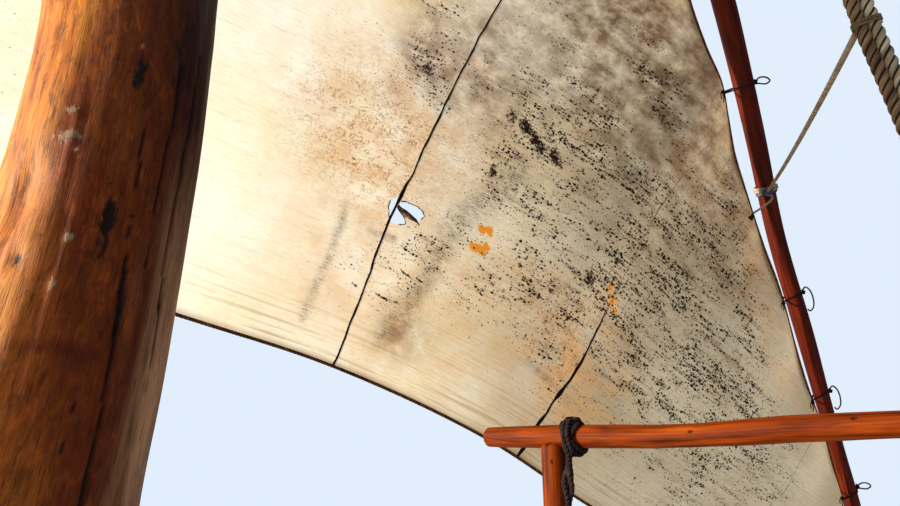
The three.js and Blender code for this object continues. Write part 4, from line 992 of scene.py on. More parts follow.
def sail_waves(foot, rise):
    """How far the canvas stands off its smooth shape: tension folds, puckers at seams and soft waves."""
    length = CLOTH_LENGTH + CLOTH_GAIN * part(foot, 0.1, 1.1)
    up, u = rise * length, foot * CANVAS_SPAN
    off = sum(high * grain(seed, u * across, up * along) for seed, high, across, along in WAVES)
    high, angles, reach = SCALLOPS
    off = off + high * np.cos(foot * angles) * bell((length - up) / reach)
    high, reach, along = PUCKERS
    for seam in SEAMS[1:-1]:
        near = bell((foot - seam[0]) * CANVAS_SPAN / reach)
        off = off + high * near * grain(7, seam[0] * 900, up * along)
    for seed, high, across, along, reach in FOLDS:
        off = off + high * grain(seed, u * across, up * along) * bell(up / reach)
    return off * part(np.minimum(rise, 1 - rise) * length, 0, 0.02)


def sail_surface(foot, rise, off=0.0):
    return sail_point(foot, rise) + sail_normal(foot, rise) * (sail_waves(foot, rise) + off)[:, None]


def stroke_distance(foot, rise, line):
    """Distance in metres from a stroke's line."""
    height = np.linalg.norm(sail_point(*line[0]) - sail_point(line[0][0], 0.0)) / line[0][1]
    scale = np.array([FOOT_LENGTH, height])
    at, line = np.stack([foot, rise], axis=-1) * scale, line * scale
    away = np.full(foot.shape, np.inf)
    for a, b in zip(line[:-1], line[1:]):
        share = part((at - a) @ (b - a) / (b - a).dot(b - a))
        away = np.minimum(away, np.linalg.norm(at - a - share[:, None] * (b - a), axis=-1))
    return away


def sail_masks(foot, rise):
    masks = {}
    for name, rows in BLOTS.items():
        masks[name] = np.zeros(foot.shape)
        for a, b, long, high, weight in rows:
            blot = weight * spot((foot - a) * FOOT_LENGTH / long, (rise - b) * sail_height(a) / high)
            if name in ("clot", "orange"):
                masks[name] = np.maximum(masks[name], blot)
            else:
                masks[name] += blot * (1 - masks[name])
    for name, half, weight, line in STROKES:
        away = stroke_distance(foot, rise, np.array(line))
        masks[name] = np.maximum(masks[name], weight * spot(away / half))
    tall = sail_height(foot)
    heaps = part(grain(12, foot * 26, rise * 7) - 0.35)
    elsewhere = 0.16 + 0.14 * grain(11, foot * 30, rise * 6) + 0.5 * heaps
    hidden = part(foot, 0.43, 0.48) + part(0.10 - foot, 0, 0.02)
    masks["mould"] = part(masks["mould"] + 0.06 + hidden * elsewhere * 0.5)
    # Painted light: high towards the tack, where the canvas is painted darker as shade, and nil from 0.42 of
    # the foot on, where it is painted near white.
    masks["painted_light_falloff"] = part(1.25 - (foot - 0.12) / 0.24) * 0.85 + 0.1 * grain(13, foot * 20, rise * 4) ** 2
    masks["hem"] = part(1 - (np.minimum(rise, 1 - rise) * tall - 0.014) / 0.008) * 0.36
    masks["crease"] = 0.12 + 0.88 * bell(rise * tall / 0.14)
    return masks


def nearest(values, wanted):
    return int(np.abs(values - wanted).argmin())


def sail_lines():
    """Shares of the foot and of the way up where the sail's mesh lines run."""
    fine = np.arange(*FINE_SHARES, 0.0011)
    low = np.linspace(SAIL_FIRST, FINE_SHARES[0], 28)[:-1]
    columns = np.concatenate([low, fine, np.linspace(fine[-1], 1, 122)[1:]])
    middle = np.arange(0.022, 0.978, 0.0056)
    rises = np.concatenate([[0, 0.004, 0.009, 0.015], middle, [0.985, 0.991, 0.996, 1.0]])
    for share in (*(seam[0] for seam in SEAMS[1:-1]), *HOLE_CELLS[:2]):
        columns[nearest(columns, share)] = share
    for share in HOLE_CELLS[2:]:
        rises[nearest(rises, share)] = share
    return columns, rises


def hole_patch(columns, rises):
    """Triangles between the torn outlines and the cells around them, and the shares of their new points."""
    left, right = (nearest(columns, edge) for edge in HOLE_CELLS[:2])
    low, high = (nearest(rises, edge) for edge in HOLE_CELLS[2:])
    border = [(k, low) for k in range(left, right)] + [(right, k) for k in range(low, high)]
    border += [(k, high) for k in range(right, left, -1)] + [(left, k) for k in range(high, low, -1)]
    flat = [(columns[k], rises[m]) for k, m in border]
    edges = [(n, (n + 1) % len(flat)) for n in range(len(flat))]
    for hole in HOLES:
        edges += [(len(flat) + n, len(flat) + (n + 1) % len(hole)) for n in range(len(hole))]
        flat += list(map(tuple, hole))
    steps = [np.linspace(*HOLE_CELLS[:2], 42)[1:-1], np.linspace(*HOLE_CELLS[2:], 40)[1:-1]]
    spots = np.stack(np.meshgrid(*steps), -1).reshape(-1, 2)
    spots = spots + np.random.default_rng(23).uniform(-0.25, 0.25, spots.shape) * [0.0005, 0.0018]
    scaled = [Vector(place) for place in np.array([*flat, *spots]) * SHARE_SIZES]
    found, _, faces, origins, _, _ = delaunay_2d_cdt(scaled, edges, [], 0, 1e-6)
    shares = np.array([tuple(v) for v in found]) / SHARE_SIZES
    middles = np.array([shares[face].mean(axis=0) for face in faces])
    torn = inside(HOLES[0], *middles.T) | inside(HOLES[1], *middles.T)
    numbers = {}
    for n, sources in enumerate(origins):
        for source in sources:
            if source < len(border):
                numbers[n] = border[source][0] * len(rises) + border[source][1]
    extra = [n for n in range(len(found)) if n not in numbers]
    numbers |= {row: len(columns) * len(rises) + n for n, row in enumerate(extra)}
    triangles = [[numbers[n] for n in face] for face, gone in zip(faces, torn) if not gone]
    return np.array(triangles), shares[extra]


def build_sail():
    columns, rises = sail_lines()
    count = len(rises)
    i, j = grid_pairs(len(columns) - 1, count - 1)
    middle_a, middle_b = (columns[i] + columns[i + 1]) / 2, (rises[j] + rises[j + 1]) / 2
    cut = (middle_a > HOLE_CELLS[0]) & (middle_a < HOLE_CELLS[1])
    cut &= (middle_b > HOLE_CELLS[2]) & (middle_b < HOLE_CELLS[3])
    first = (i * count + j)[~cut]
    cells = np.stack([first, first + count, first + count + 1, first + 1], axis=-1)
    triangles, extra = hole_patch(columns, rises)

    foot = np.concatenate([np.repeat(columns, count), extra[:, 0]])
    rise = np.concatenate([np.tile(rises, len(columns)), extra[:, 1]])
    used = np.zeros(len(foot), bool)
    used[cells.ravel()] = used[triangles.ravel()] = True
    order = np.cumsum(used) - 1
    uv = np.stack([foot * FOOT_LENGTH, rise * sail_height(foot)], axis=-1)
    shape = Shape()
    shape.add_points(sail_surface(foot, rise)[used])
    shape.add_faces(0, order[cells], uv[cells.ravel()])
    shape.add_faces(0, order[triangles], uv[triangles.ravel()])
    sail = shape.piece("sail", YARD, [CANVAS], [f"sail_cloth_{n}" for n in range(1, 9)], crease=0)
    give_masks(sail, {name: values[used] for name, values in sail_masks(foot, rise).items()})
    return sail


sail = build_sail()


# The foremost seams' lean from a straight run, the others run straight: share of the way up, shift in
# shares of the foot
STRAIGHT = [(0, 0), (1, 0)]
SEAM_LEANS = {
    0: [(0, 0), (0.49, 0), (0.6, -0.002), (0.89, 0.003), (1, 0)],
    1: [(0, 0), (0.12, -0.0012), (0.24, -0.003), (0.4, -0.0005), (0.65, 0.003), (0.82, 0.003), (1, 0)],
    2: [(0, -0.0022), (0.1, -0.002), (0.22, 0), (0.31, 0), (0.45, 0.0016), (0.6, 0.0025), (1, 0)],
}
# How dark each seam's dirt is, by the share of the way up
EVEN_DIRT = [(0, 0.2), (1, 0.2)]
SEAM_DIRT = {
    0: [(0, 1), (0.3, 1), (0.42, 0.5), (0.5, 0), (1, 0)],
    1: [
        (0, 1), (0.22, 1), (0.27, 0.75), (0.36, 0.45), (0.42, 0.05), (0.62, 0.1), (0.7, 0.2), (0.8, 0),
        (1, 0),
    ],
    2: [(0, 1), (1, 1)],
}
STRIP_POINTS = 8


def flat_strip(shape, middle, wide, facing, thick):
    """Thin flat strip along a path; the facing vectors are its normals."""
    way = unit(np.gradient(middle, axis=0))
    side = unit(np.cross(way, facing))
    angle = TAU * np.arange(STRIP_POINTS) / STRIP_POINTS
    radii = 1 / np.hypot(np.cos(angle) / wide[:, None], np.sin(angle) / np.asarray(thick)[..., None])
    sweep(shape, middle, radii, frames=(side, np.cross(way, side)))


def build_seams():
    """Sewn seams between the cloths: a flat ridge with its stitches, standing on both faces."""
    shape = Shape()
    dirts = []
    for n, (foot, _, _) in enumerate(SEAMS[1:-1]):
        tall = float(sail_height(foot))
        rise = np.linspace(0.002, 0.998, int(tall / 0.012))

        def ripple(seed, cells):
            return grain(seed + n, 0.5, rise * tall * cells)

        foots = foot + smooth_at(SEAM_LEANS.get(n, STRAIGHT), rise, 1)
        foots = foots + (0.0035 * ripple(31, 4) + 0.0036 * ripple(41, 20)) / FOOT_LENGTH
        dirt = np.interp(rise, *np.array(SEAM_DIRT.get(n, EVEN_DIRT)).T)
        rough = dirt * (0.7 if n == 2 else 2.2)
        faint = 0.3 + 0.7 * part(2 * dirt) if n in (0, 1) else 1.0
        burls = 0.010 * part(ripple(71, 9) - 0.35) + 0.0010 + 0.0026 * np.abs(ripple(91, 24))
        wide = (0.0023 + 0.0010 * ripple(51, 14) + burls * rough) * faint
        thick = (0.0011 + 0.0003 * ripple(61, 60) + 0.0008 * dirt) * faint
        dirts.append(np.repeat(part(dirt + 0.25 * ripple(81, 5)), STRIP_POINTS))
        flat_strip(shape, sail_surface(foots, rise), wide, sail_normal(foots, rise), thick)
    seams = shape.piece("sail_seams", YARD, [SEAM], crease=0)
    give_masks(seams, {"dirt": np.concatenate(dirts)})


# Middle line of the torn flap, and runs of rolled threads on the outlines: hole, seed, first and last corner
FLAP_SPINE = [
    (0.3601, 0.2462), (0.3588, 0.244), (0.3568, 0.2428), (0.3539, 0.2426), (0.3512, 0.2432),
    (0.3497, 0.2418),
]
TORN_RUNS = [(0, 71, 0, 7), (0, 72, 8, 12), (1, 73, 3, 9), (1, 74, 11, 15)]


def build_torn_edge():
    """Flap that hangs from the seam across the hole, and the rolled dark threads of the torn edges."""
    shape = Shape()
    share = np.linspace(0, 1, 30)
    foot, rise = (np.interp(share, np.linspace(0, 1, len(FLAP_SPINE)), column) for column in zip(*FLAP_SPINE))
    normal = sail_normal(foot, rise)
    path = sail_point(foot, rise) + normal * (0.004 * np.sin(share * 7) - 0.012 * share)[:, None]
    wide = 0.0035 + 0.0075 * np.sin(part(share * 1.15) * math.pi) ** 0.8
    roll = normal + 0.9 * np.sin(share * 5 + 0.6)[:, None] * unit(np.gradient(path, axis=0)[:, [1, 2, 0]])
    flat_strip(shape, path, wide, unit(roll), 0.0014)
    for hole, seed, first, last in TORN_RUNS:
        edge = HOLES[hole][first * TEAR_STEPS : last * TEAR_STEPS + 1]
        path = resample(sail_surface(*edge.T, -0.0008), 0.004)
        wide = 0.0016 + 0.0009 * grain(seed, 0.5, np.arange(len(path)) * 0.7)
        sweep(shape, path, np.tile(wide[:, None], (1, 6)), number=1)
    shape.piece("torn_flap", YARD, [FLAP, TARRED], crease=0)


build_seams()
build_torn_edge()

# Bolt ropes and robands
BOLT_RADIUS = 0.0058
CORD_RADIUS = 0.0024
EDGE_SHARES = np.linspace(SAIL_FIRST, 1, 1400)


def build_bolt_ropes():
    edges = [("luff", EDGE_SHARES, 1.0), ("foot", EDGE_SHARES, 0.0), ("leech", 1.0, np.linspace(0, 1, 600))]
    for name, foot, rise in edges:
        shape = Shape()
        rope(shape, sail_point(foot, rise), BOLT_RADIUS, 0.0062, 9, lay=6.0)
        shape.piece(f"{name}_bolt_rope", YARD, [BOLT], [f"{name}_rope"])


def luff_at(distance):
    return luff_point((distance - LUFF[0]) / (LUFF[1] - LUFF[0]))[0]


# Bow loops of the robands' knots, on the spar's fore and starboard side: distance out from it and up along it
BOW_SIDE = math.radians(180 + 51)
BOWS = [
    [(0, 0), (0.024, 0.012), (0.052, 0.004), (0.064, -0.014), (0.046, -0.022), (0.018, -0.012), (0, -0.004)],
    [(0, 0.004), (0.018, 0.02), (0.034, 0), (0.04, -0.04), (0.032, -0.08), (0.014, -0.094), (0.004, -0.08)],
]


def roband_knot(shape, at, size, ways):
    rope(shape, trefoil(at, size, ways, 1.2), CORD_RADIUS * 1.3, 0.0026, 9, closed=True)


def add_roband(shape, distance, rng, bow):
    """Two turns round the spar and the luff rope, a knot with its tails and a knot with a bow."""
    at, way, aft_way, port_way = yard_frame_at(distance)
    away = luff_at(distance) - at
    aft, port = away.dot(aft_way), away.dot(port_way)
    circles = spar_circles(distance, CORD_RADIUS)
    turns = 2
    share = np.linspace(0, 1, 140)
    start = math.atan2(port, aft) + 0.3
    offsets = loop_point([*circles, (aft, port, BOLT_RADIUS + CORD_RADIUS)], start + TAU * turns * share)
    skew = rng.uniform(-0.012, 0.012) * np.sin(TAU * turns * share)
    along = distance + skew + (share - 0.5) * 2.4 * CORD_RADIUS * turns
    cord(shape, on_yard(along, *offsets.T), CORD_RADIUS, 0.006, 6)

    knot_at = on_yard(distance, aft + 0.012, port - 0.004)[0]
    roband_knot(shape, knot_at, 0.010, [way, aft_way, port_way])
    out_way = turned(aft_way, port_way, BOW_SIDE)
    bow_at = on_yard(distance, *loop_point(circles, np.array([BOW_SIDE]))[0])[0] + out_way * CORD_RADIUS
    loop = catmull([bow_at + out_way * out + way * up for out, up in bow], 0.004)
    cord(shape, loop, CORD_RADIUS * 1.4, 0.004, 6)
    roband_knot(shape, bow_at + out_way * 0.005, 0.011, [way, np.cross(way, out_way), out_way])
    drop = UP * rng.uniform(0.015, 0.035)
    for sign in (-1, 1):
        tail = [
            knot_at,
            knot_at + aft_way * 0.012 + way * 0.012 * sign,
            knot_at + aft_way * 0.02 - drop * 0.5 + port_way * 0.006 * sign,
            knot_at + aft_way * 0.018 - drop + way * 0.008 * sign,
        ]
        cord(shape, catmull(tail, 0.004), CORD_RADIUS * 0.9, 0.004, 6)


def build_robands():
    """Thin black cords that lace the luff to the yard, left out where the guy is hitched."""
    shape = Shape()
    for n, distance in enumerate(np.arange(*ROBANDS)):
        if abs(distance - GUY_AT) > 0.06:
            add_roband(shape, distance, np.random.default_rng(100 + n), BOWS[n // 2 % len(BOWS)])
    shape.piece("robands", YARD, [TARRED])


build_bolt_ropes()
build_robands()

# Mast: heights and angles in degrees between which its mesh is fine, and the angle of its first line
FINE_HEIGHTS = (1.66, 2.48)
FINE_ANGLES = (170, 355)
FIRST_ANGLE = 75
# Height above which the trunk is worked smooth, and the radius its texture places are laid out for
SMOOTH_FROM = 7.25
MAP_RADIUS = 0.1
# Lumps and ribs of the trunk: seed, height, cells round it, cells a metre
LUMPS = [(201, 0.0030, 5, 3.2), (202, 0.0016, 11, 7), (203, 0.0011, 46, 5), (204, 0.0006, 90, 9)]
# Half width, then height and angle in degrees from forward
CRACKS = [
    (0.003, [
        (2.03, 270.5), (2.002, 271.7), (1.952, 274.1), (1.884, 276), (1.828, 278.2), (1.758, 278.5),
        (1.6, 280),
    ]),
    (0.002, [(2.25, 301), (2.12, 299), (1.99, 299.3), (1.938, 302.7), (1.886, 301.8), (1.85, 303)]),
    (0.0014, [(2.3, 286), (2.2, 285), (2.06, 283), (1.96, 286)]),
    (0.0012, [(2.16, 265.5), (2.1, 267.5), (2.03, 270.5)]),
    (0.0012, [(1.9, 262), (1.83, 264), (1.74, 262), (1.62, 264)]),
    (0.0022, [(1.6, 200), (1.3, 204), (0.95, 200)]), (0.0022, [(3.6, 250), (3.1, 246), (2.62, 252)]),
    (0.002, [(5.6, 100), (4.9, 104), (4.2, 98)]), (0.0022, [(2.9, 60), (2.2, 66), (1.6, 58)]),
    (0.0022, [(6.6, 290), (6, 284), (5.2, 288)]),
]
# For each mask: height, angle in degrees, half height, half width, weight
MARKS = {
    "stain": [
        (2.19, 258.7, 0.024, 0.008, 0.75), (2.023, 257.9, 0.03, 0.009, 0.8),
        (2.105, 262, 0.018, 0.005, 0.45), (2.06, 255, 0.01, 0.006, 0.4), (1.985, 216, 0.01, 0.006, 0.55),
        (2.33, 268, 0.06, 0.014, 0.55), (2.22, 284, 0.08, 0.01, 0.45), (1.85, 240, 0.05, 0.006, 0.3),
    ],
    "smear": [(1.903, 250, 0.006, 0.052, 0.75), (1.896, 262, 0.009, 0.018, 0.85)],
    "bark": [
        (2.3, 236, 0.11, 0.022, 0.42), (2.19, 233, 0.05, 0.018, 0.42), (2.11, 227, 0.03, 0.023, 0.46),
        (2.05, 225, 0.03, 0.018, 0.44), (1.99, 228, 0.04, 0.016, 0.42), (1.92, 232, 0.03, 0.016, 0.44),
        (1.84, 236, 0.06, 0.014, 0.34),
    ],
    "lichen": [
        (2.14, 224.5, 0.006, 0.01, 0.7), (2.112, 226, 0.008, 0.017, 0.75), (2.098, 233, 0.004, 0.004, 0.6),
        (2.008, 240.8, 0.007, 0.005, 0.75), (1.961, 238.5, 0.012, 0.006, 0.62),
        (2.225, 257.5, 0.008, 0.004, 0.55), (2.24, 247, 0.005, 0.006, 0.5), (2.27, 240, 0.01, 0.006, 0.45),
        (2.06, 280, 0.03, 0.01, 0.4), (1.9, 300, 0.04, 0.014, 0.42),
    ],
}
# Height, angle in degrees, half height, half width, depth
HOLLOWS = [
    (2.062, 206, 0.03, 0.02, 0.0075), (2.03, 199, 0.024, 0.016, 0.006), (1.985, 216, 0.012, 0.008, 0.003),
    (2.48, 222, 0.05, 0.012, 0.004),
]
# Heights, and the angle in degrees up to which the sunlit side keeps its bright colour; past it the wood is
# painted darker as painted shade
SUNLIT_LIMIT = [(1.80, 1.86, 1.95, 2.12, 2.25, 2.40), (250, 243, 237, 212, 224, 230)]


def mast_axis(height):
    return columns_at(MAST_SECTIONS, height, 1, 2)


def apart(angle, other):
    """Signed difference between angles."""
    return (angle - other + math.pi) % TAU - math.pi


def mast_cracks(z, angle, radius):
    """How open the cracks are at each place, and how deep."""
    shade, depth = np.zeros(z.shape), np.zeros(z.shape)
    wander = 0.012 * grain(205, 0.5, z * 34) + 0.006 * grain(206, 0.5, z * 120)
    for wide, line in CRACKS:
        heights, degrees = np.array(sorted(line)).T
        gap = np.abs(apart(angle, np.interp(z, heights, np.radians(degrees)) + wander)) * radius
        inner = part(z - heights[0], 0, 0.05) * part(heights[-1] - z, 0, 0.05)
        size = wide * np.sqrt(inner) * (0.75 + 0.5 * grain(207, 0.5, z * 22))
        gaping = part(1.5 - gap / np.maximum(size, 1e-5)) * (inner > 0)
        shade = np.maximum(shade, gaping)
        depth = np.maximum(depth, gaping * min(0.0045, 1.6 * wide))
    return part(shade * 1.3), depth


def mast_spots(rows, z, angle, radius):
    for height, degrees, tall, wide, weight in rows:
        gap = apart(angle, math.radians(degrees)) * radius
        yield weight * spot(gap / wide, (z - height) / tall)


def mast_shade_and_grey(z, angle, turn):
    """Masks of the side away from the sun, painted dark as painted shade, of the grey side, and of the sunlit
    side, past which the colour is darkened as painted shade.
    """
    degrees = np.degrees(angle) % 360 + 6 * grain(209, turn * 9, z * 6, 9)
    side = part(degrees, 252, 292) * part(370 - degrees, 0, 25)
    limit = np.interp(z, *SUNLIT_LIMIT) + 7 * grain(208, turn * 6, z * 5.0, 6)
    return {
        # Painted shade on the side away from the sun, strongest from 2.2 m up and fading out between 4 m and
        # 6.5 m.
        "dark": side * (0.08 + 0.92 * part(z, 1.99, 2.20)) * part(6.5 - z, 0, 2.5),
        "grey": part(degrees, 276, 292) * part(360 - degrees, 0, 20) * part(2.16 - z, 0, 0.14),
        # Painted light: 1 on the side the sun lights, falling to 0 past the limit, where the material paints
        # shade.
        "worn": part(limit + 14 - degrees, 0, 34) * part(degrees, 60, 110),
    }


def mast_lines():
    """Heights and angles where the mast's mesh lines run, closest where it is seen from near."""
    start, low, high = math.radians(FIRST_ANGLE), MAST_SECTIONS[0][0], MAST_SECTIONS[-1][0]
    seen = np.radians(np.linspace(*FINE_ANGLES, 104))
    behind = np.radians(np.linspace(FINE_ANGLES[1], FINE_ANGLES[0] + 360, 34))[1:-1]
    angles = np.sort((np.concatenate([seen, behind]) - start) % TAU) + start
    below, above = np.arange(low, FINE_HEIGHTS[0], 0.03), np.arange(FINE_HEIGHTS[1], high - 0.06, 0.04)
    top = np.linspace(high - 0.055, high - 0.0001, 10)
    return np.concatenate([below, np.arange(*FINE_HEIGHTS, 0.0026), above, top]), angles


def build_mast():
    heights, angles = mast_lines()
    z, angle = np.meshgrid(heights, angles, indexing="ij")
    x, y, radius = columns_at(MAST_SECTIONS, z, 1, 2, 3)
    turn = angle / TAU
    lumps = sum(high * grain(seed, turn * cells, z * along, cells) for seed, high, cells, along in LUMPS)
    masks = mast_shade_and_grey(z, angle, turn)
    masks["crack"], depth = mast_cracks(z, angle, radius)
    for name, rows in MARKS.items():
        masks[name] = np.maximum.reduce(list(mast_spots(rows, z, angle, radius)))
    reach = radius + lumps * part(z - heights[0], 0, 0.12) * part(SMOOTH_FROM - z, 0, 0.3) - depth
    reach += 0.0012 * sum(mast_spots(MARKS["lichen"], z, angle, radius)) * (z < 3)
    reach -= sum(mast_spots(HOLLOWS, z, angle, radius))
    rings = np.stack([x + reach * np.cos(angle), y + reach * np.sin(angle), z], axis=-1)

    shape = Shape()
    flat = MAP_RADIUS * np.stack([np.cos(angles), np.sin(angles)], axis=-1)
    shape.skin(rings, MAP_RADIUS * np.append(angles, angles[0] + TAU), heights, flat=flat)
    mast = shape.piece("mast_trunk", ROOT, [MAST_WOOD], ["mast"], crease=0)
    give_masks(mast, masks)
    cut_mast_head(mast)


def cut_mast_head(mast):
    """Two slots for the sheaves."""
    x, y = mast_axis(PIN_HEIGHT)
    cutter = Shape()
    half = np.array([SLOT_WIDTH / 2, 0.2, SLOT_HEIGHT / 2])
    signs = np.array([(a, b, c) for c in (-1, 1) for a, b in ((-1, -1), (1, -1), (1, 1), (-1, 1))])
    sides = [(3, 2, 1, 0), (4, 5, 6, 7), (0, 1, 5, 4), (1, 2, 6, 5), (2, 3, 7, 6), (3, 0, 4, 7)]
    for side in (-1, 1):
        first = cutter.add_points(np.array([x + side * SHEAVE_SPREAD, y, PIN_HEIGHT]) + signs * half)
        cutter.add_faces(first, sides, np.zeros((24, 2)))
    slots = link("slots", cutter.mesh("slots"))
    bpy.context.view_layer.update()
    boolean = mast.modifiers.new("slots", "BOOLEAN")
    boolean.operation = "DIFFERENCE"
    boolean.solver = "EXACT"
    boolean.object = slots
    graph = bpy.context.evaluated_depsgraph_get()
    carved = bpy.data.meshes.new_from_object(mast.evaluated_get(graph), depsgraph=graph)
    mast.modifiers.clear()
    whole, mast.data = mast.data, carved
    carved.name = "mast_trunk"
    bpy.data.meshes.remove(whole)
    bpy.data.meshes.remove(slots.data)


build_mast()


# Poles: yard, rail and posts
def pole(shape, path, radii, seed, sides=32, lump=0.04, splits=(), blunt=0.35):
    """Round timber with slight lumps, worn ends and drying splits, given as angles and depths along it."""
    length = lengths_along(path)
    turn = np.arange(sides)[None] / sides
    lumps = lump * grain(seed, turn * 4, length[:, None] * 7, 4)
    lumps = lumps + lump * 0.4 * grain(seed + 1, turn * 9, length[:, None] * 22, 9)
    for place, depth in splits:
        away = apart(turn * TAU, (place - 0.06 * grain(seed + 2, 0.5, length * 40))[:, None])
        lumps = lumps - 0.10 * depth[:, None] * part(1.4 - np.abs(away) / 0.06)
    sweep(shape, path, (radii * rounding(length, blunt * radii, 0.30))[:, None] * (1 + lumps))


def with_ends(start, stop, every, close=0.0015):
    """Even places from start to stop with a few close together at each end."""
    tips = np.array([0, 0.3, 0.8, 1.6, 3, 5, 8]) * close
    inner = np.arange(start + 11 * close, stop - 10 * close, every)
    return np.concatenate([start + tips, inner, stop - tips[::-1]])


def build_spars():
    for name, table in (("lower", LOWER_SPAR), ("upper", UPPER_SPAR)):
        distance = with_ends(table[0][0], table[-1][0], 0.035)
        crook, radius, lift = columns_at(table, distance, 1, 2, 3)
        shape = Shape()
        pole(shape, on_yard(distance, -lift, crook), radius, 301, 44, 0.012)
        shape.piece(f"yard_{name}_spar", YARD, [SPAR_WOOD], [f"yard_{name}"], crease=0)


# Drying splits of the rail's worn end: angles, and depths, each along the distance to starboard
RAIL_SPLITS = [
    (((-0.53, -0.36), (-0.05, 0.85)), ((-0.40, -0.35), (1, 0))),
    (((-0.53, -0.42), (-0.95, -0.75)), ((-0.46, -0.42), (1, 0))),
]
RAIL_WORN_OFF = 0.032


def build_rail():
    across = with_ends(RAIL_SECTIONS[0][0] + RAIL_WORN_OFF, RAIL_SECTIONS[-1][0], 0.006)
    height, radius = columns_at(RAIL_SECTIONS, across, 1, 2)
    ahead = RAIL_X + 0.0015 * grain(311, 0.5, across * 6)
    path = np.stack([ahead, -across, height + 0.0015 * grain(312, 0.5, across * 8)], axis=-1)
    splits = [[np.interp(across, *table) for table in split] for split in RAIL_SPLITS]
    rail = Shape()
    pole(rail, path, radius, 313, 80, 0.035, splits, 0.12)
    rail.piece("rail_pole", ROOT, [VARNISHED], ["rail"], crease=0)


def build_posts():
    for n, (name, top, foot, _, radius) in enumerate(POSTS):
        seat = smooth_at(RAIL_SECTIONS, -top, 1) - 0.012
        table = [(BEAM_TOP + 0.0003, foot, radius + 0.008), (0.7, foot, radius + 0.003)]
        table += [(1.5, top, radius - 0.003), (seat, top, radius)]
        heights = with_ends(table[0][0], seat, 0.03)
        port, radii = columns_at(table, heights, 1, 2)
        post = Shape()
        path = np.stack([np.full(len(heights), RAIL_X), port, heights], axis=-1)
        pole(post, path, radii, 320 + 7 * n, lump=0.03)
        post.piece(f"post_{name}_pole", ROOT, [VARNISHED], [f"post_{name}"], crease=0)


# Lashings of the rail: the turns' lift off it, start angle and slant
LASH_TURNS = [(0.0, 0.4, 0.020), (0.0, 1.9, -0.012), (0.009, 1.1, 0.006)]
LASH_RADIUS = 0.0062
LASH_FROM_POST = 0.058
HANK_RADIUS = 0.0075
HANK_DROP = 0.322
POST_TURNS_DROP = 0.330


def build_lashings():
    """Dark rope over the rail, a twisted hank down beside the post and turns round the post."""
    for name, top, foot, lash, radius in POSTS:
        shape = Shape()
        side = top + lash * LASH_FROM_POST
        rail_z, rail_r = (float(value) for value in columns_at(RAIL_SECTIONS, -side, 1, 2))
        for lift, start, slant in LASH_TURNS:
            circles = [(0, 0, rail_r + LASH_RADIUS + lift)]
            path = ring_path((RAIL_X, side, rail_z), (1, 0, 0), UP, circles, start, 2.0, (0, 0.024, 0))
            path[:, 1] += slant * (path[:, 2] - rail_z) / rail_r
            rope(shape, path, LASH_RADIUS, 0.004)
        peak = (RAIL_X - 0.006, side, rail_z + rail_r + 0.010)
        rope(shape, trefoil(peak, 0.017, [(0, 1, 0), (1, 0, 0), UP], 0.9), 0.0065, 0.004, closed=True)
        share = np.linspace(0, 1, 60)
        pinch = 0.011 * (0.55 + 0.45 * np.cos(share * 19))
        for strand in range(3):
            swing = strand * TAU / 3 + share * 7.0
            ahead = RAIL_X - rail_r - 0.002 + 0.010 * share - 0.006 * np.sin(share * math.pi)
            port = side + lash * (0.006 - 0.018 * share) + pinch * np.sin(swing)
            path = [ahead + pinch * np.cos(swing), port, rail_z - 0.004 - HANK_DROP * share]
            rope(shape, np.stack(path, axis=-1), HANK_RADIUS, 0.004)
        foot_z = rail_z - POST_TURNS_DROP
        centre = (RAIL_X, float(np.interp(foot_z, (0.7, 1.5), (foot, top))), foot_z)
        wound = ring_path(centre, (1, 0, 0), (0, 1, 0), [(0, 0, radius + 0.006)], 0.0, 5.0, (0, 0, 0.062))
        rope(shape, wound, LASH_RADIUS, 0.004)
        tail = [wound[0], wound[0] + [0.004, -0.012, -0.03], wound[0] + [-0.004, -0.02, -0.085]]
        rope(shape, catmull(tail, 0.004), 0.0055, 0.004)
        shape.piece(f"lashing_{name}_rope", ROOT, [TARRED], [f"rail_lashing_{name}"])


build_spars()
build_rail()
build_posts()
build_lashings()


# Halyards
def fall_offset(side, height):
    """Offset of a fall forward and to port; side is 1 for the fore one."""
    heights, ahead, port = np.array(FALL_SPREAD).T
    return np.array([np.interp(height, heights, ahead), np.interp(height, heights, port), 0.0]) * (side > 0)


def fall_path(side):
    """Halyard over the masthead sheave, and from there down to its turns round the fore beam."""
    x, y = mast_axis(PIN_HEIGHT)
    x = x - SHEAVE_SPREAD + fall_offset(side, PIN_HEIGHT)[0]
    arc = (x, y, PIN_HEIGHT) + HALYARD_TURN * turned((0, 1, 0), UP, np.linspace(0, math.pi, 40))
    down = [point + fall_offset(side, point[2]) for point in FALL_POINTS]
    return arc, catmull([arc[-1], *down, FALL_END + fall_offset(side, 0)], 0.01)


def build_falls():
    x0, x1, z0, z1 = BEAM
    corner = 0.012
    half = ((x1 - x0) / 2 - corner, (z1 - z0) / 2 - corner)
    circles = [(a * half[0], b * half[1], corner + FALL_RADIUS) for a in (-1, 1) for b in (-1, 1)]
    # The aft fall takes the rope's darker copy, painted shade.
    for side, name, material, phase in ((1, "fore", FALL_LIT, 0.6), (-1, "aft", FALL_SHADED, 2.1)):
        arc, down = fall_path(side)
        shape = Shape()
        rope(shape, np.vstack([arc[:-1], down]), FALL_RADIUS, 0.0053, FALL_POINTS_AROUND, phase=phase)
        centre = ((x0 + x1) / 2, down[-1][1], (z0 + z1) / 2)
        turns = ring_path(centre, (1, 0, 0), UP, circles, 1.7, 2.1, (0, 0.031, 0), steps=90)
        rope(shape, turns, FALL_RADIUS, 0.005, FALL_POINTS_AROUND)
        shape.piece(f"halyard_{name}_rope", ROOT, [material], [f"halyard_{name}"])


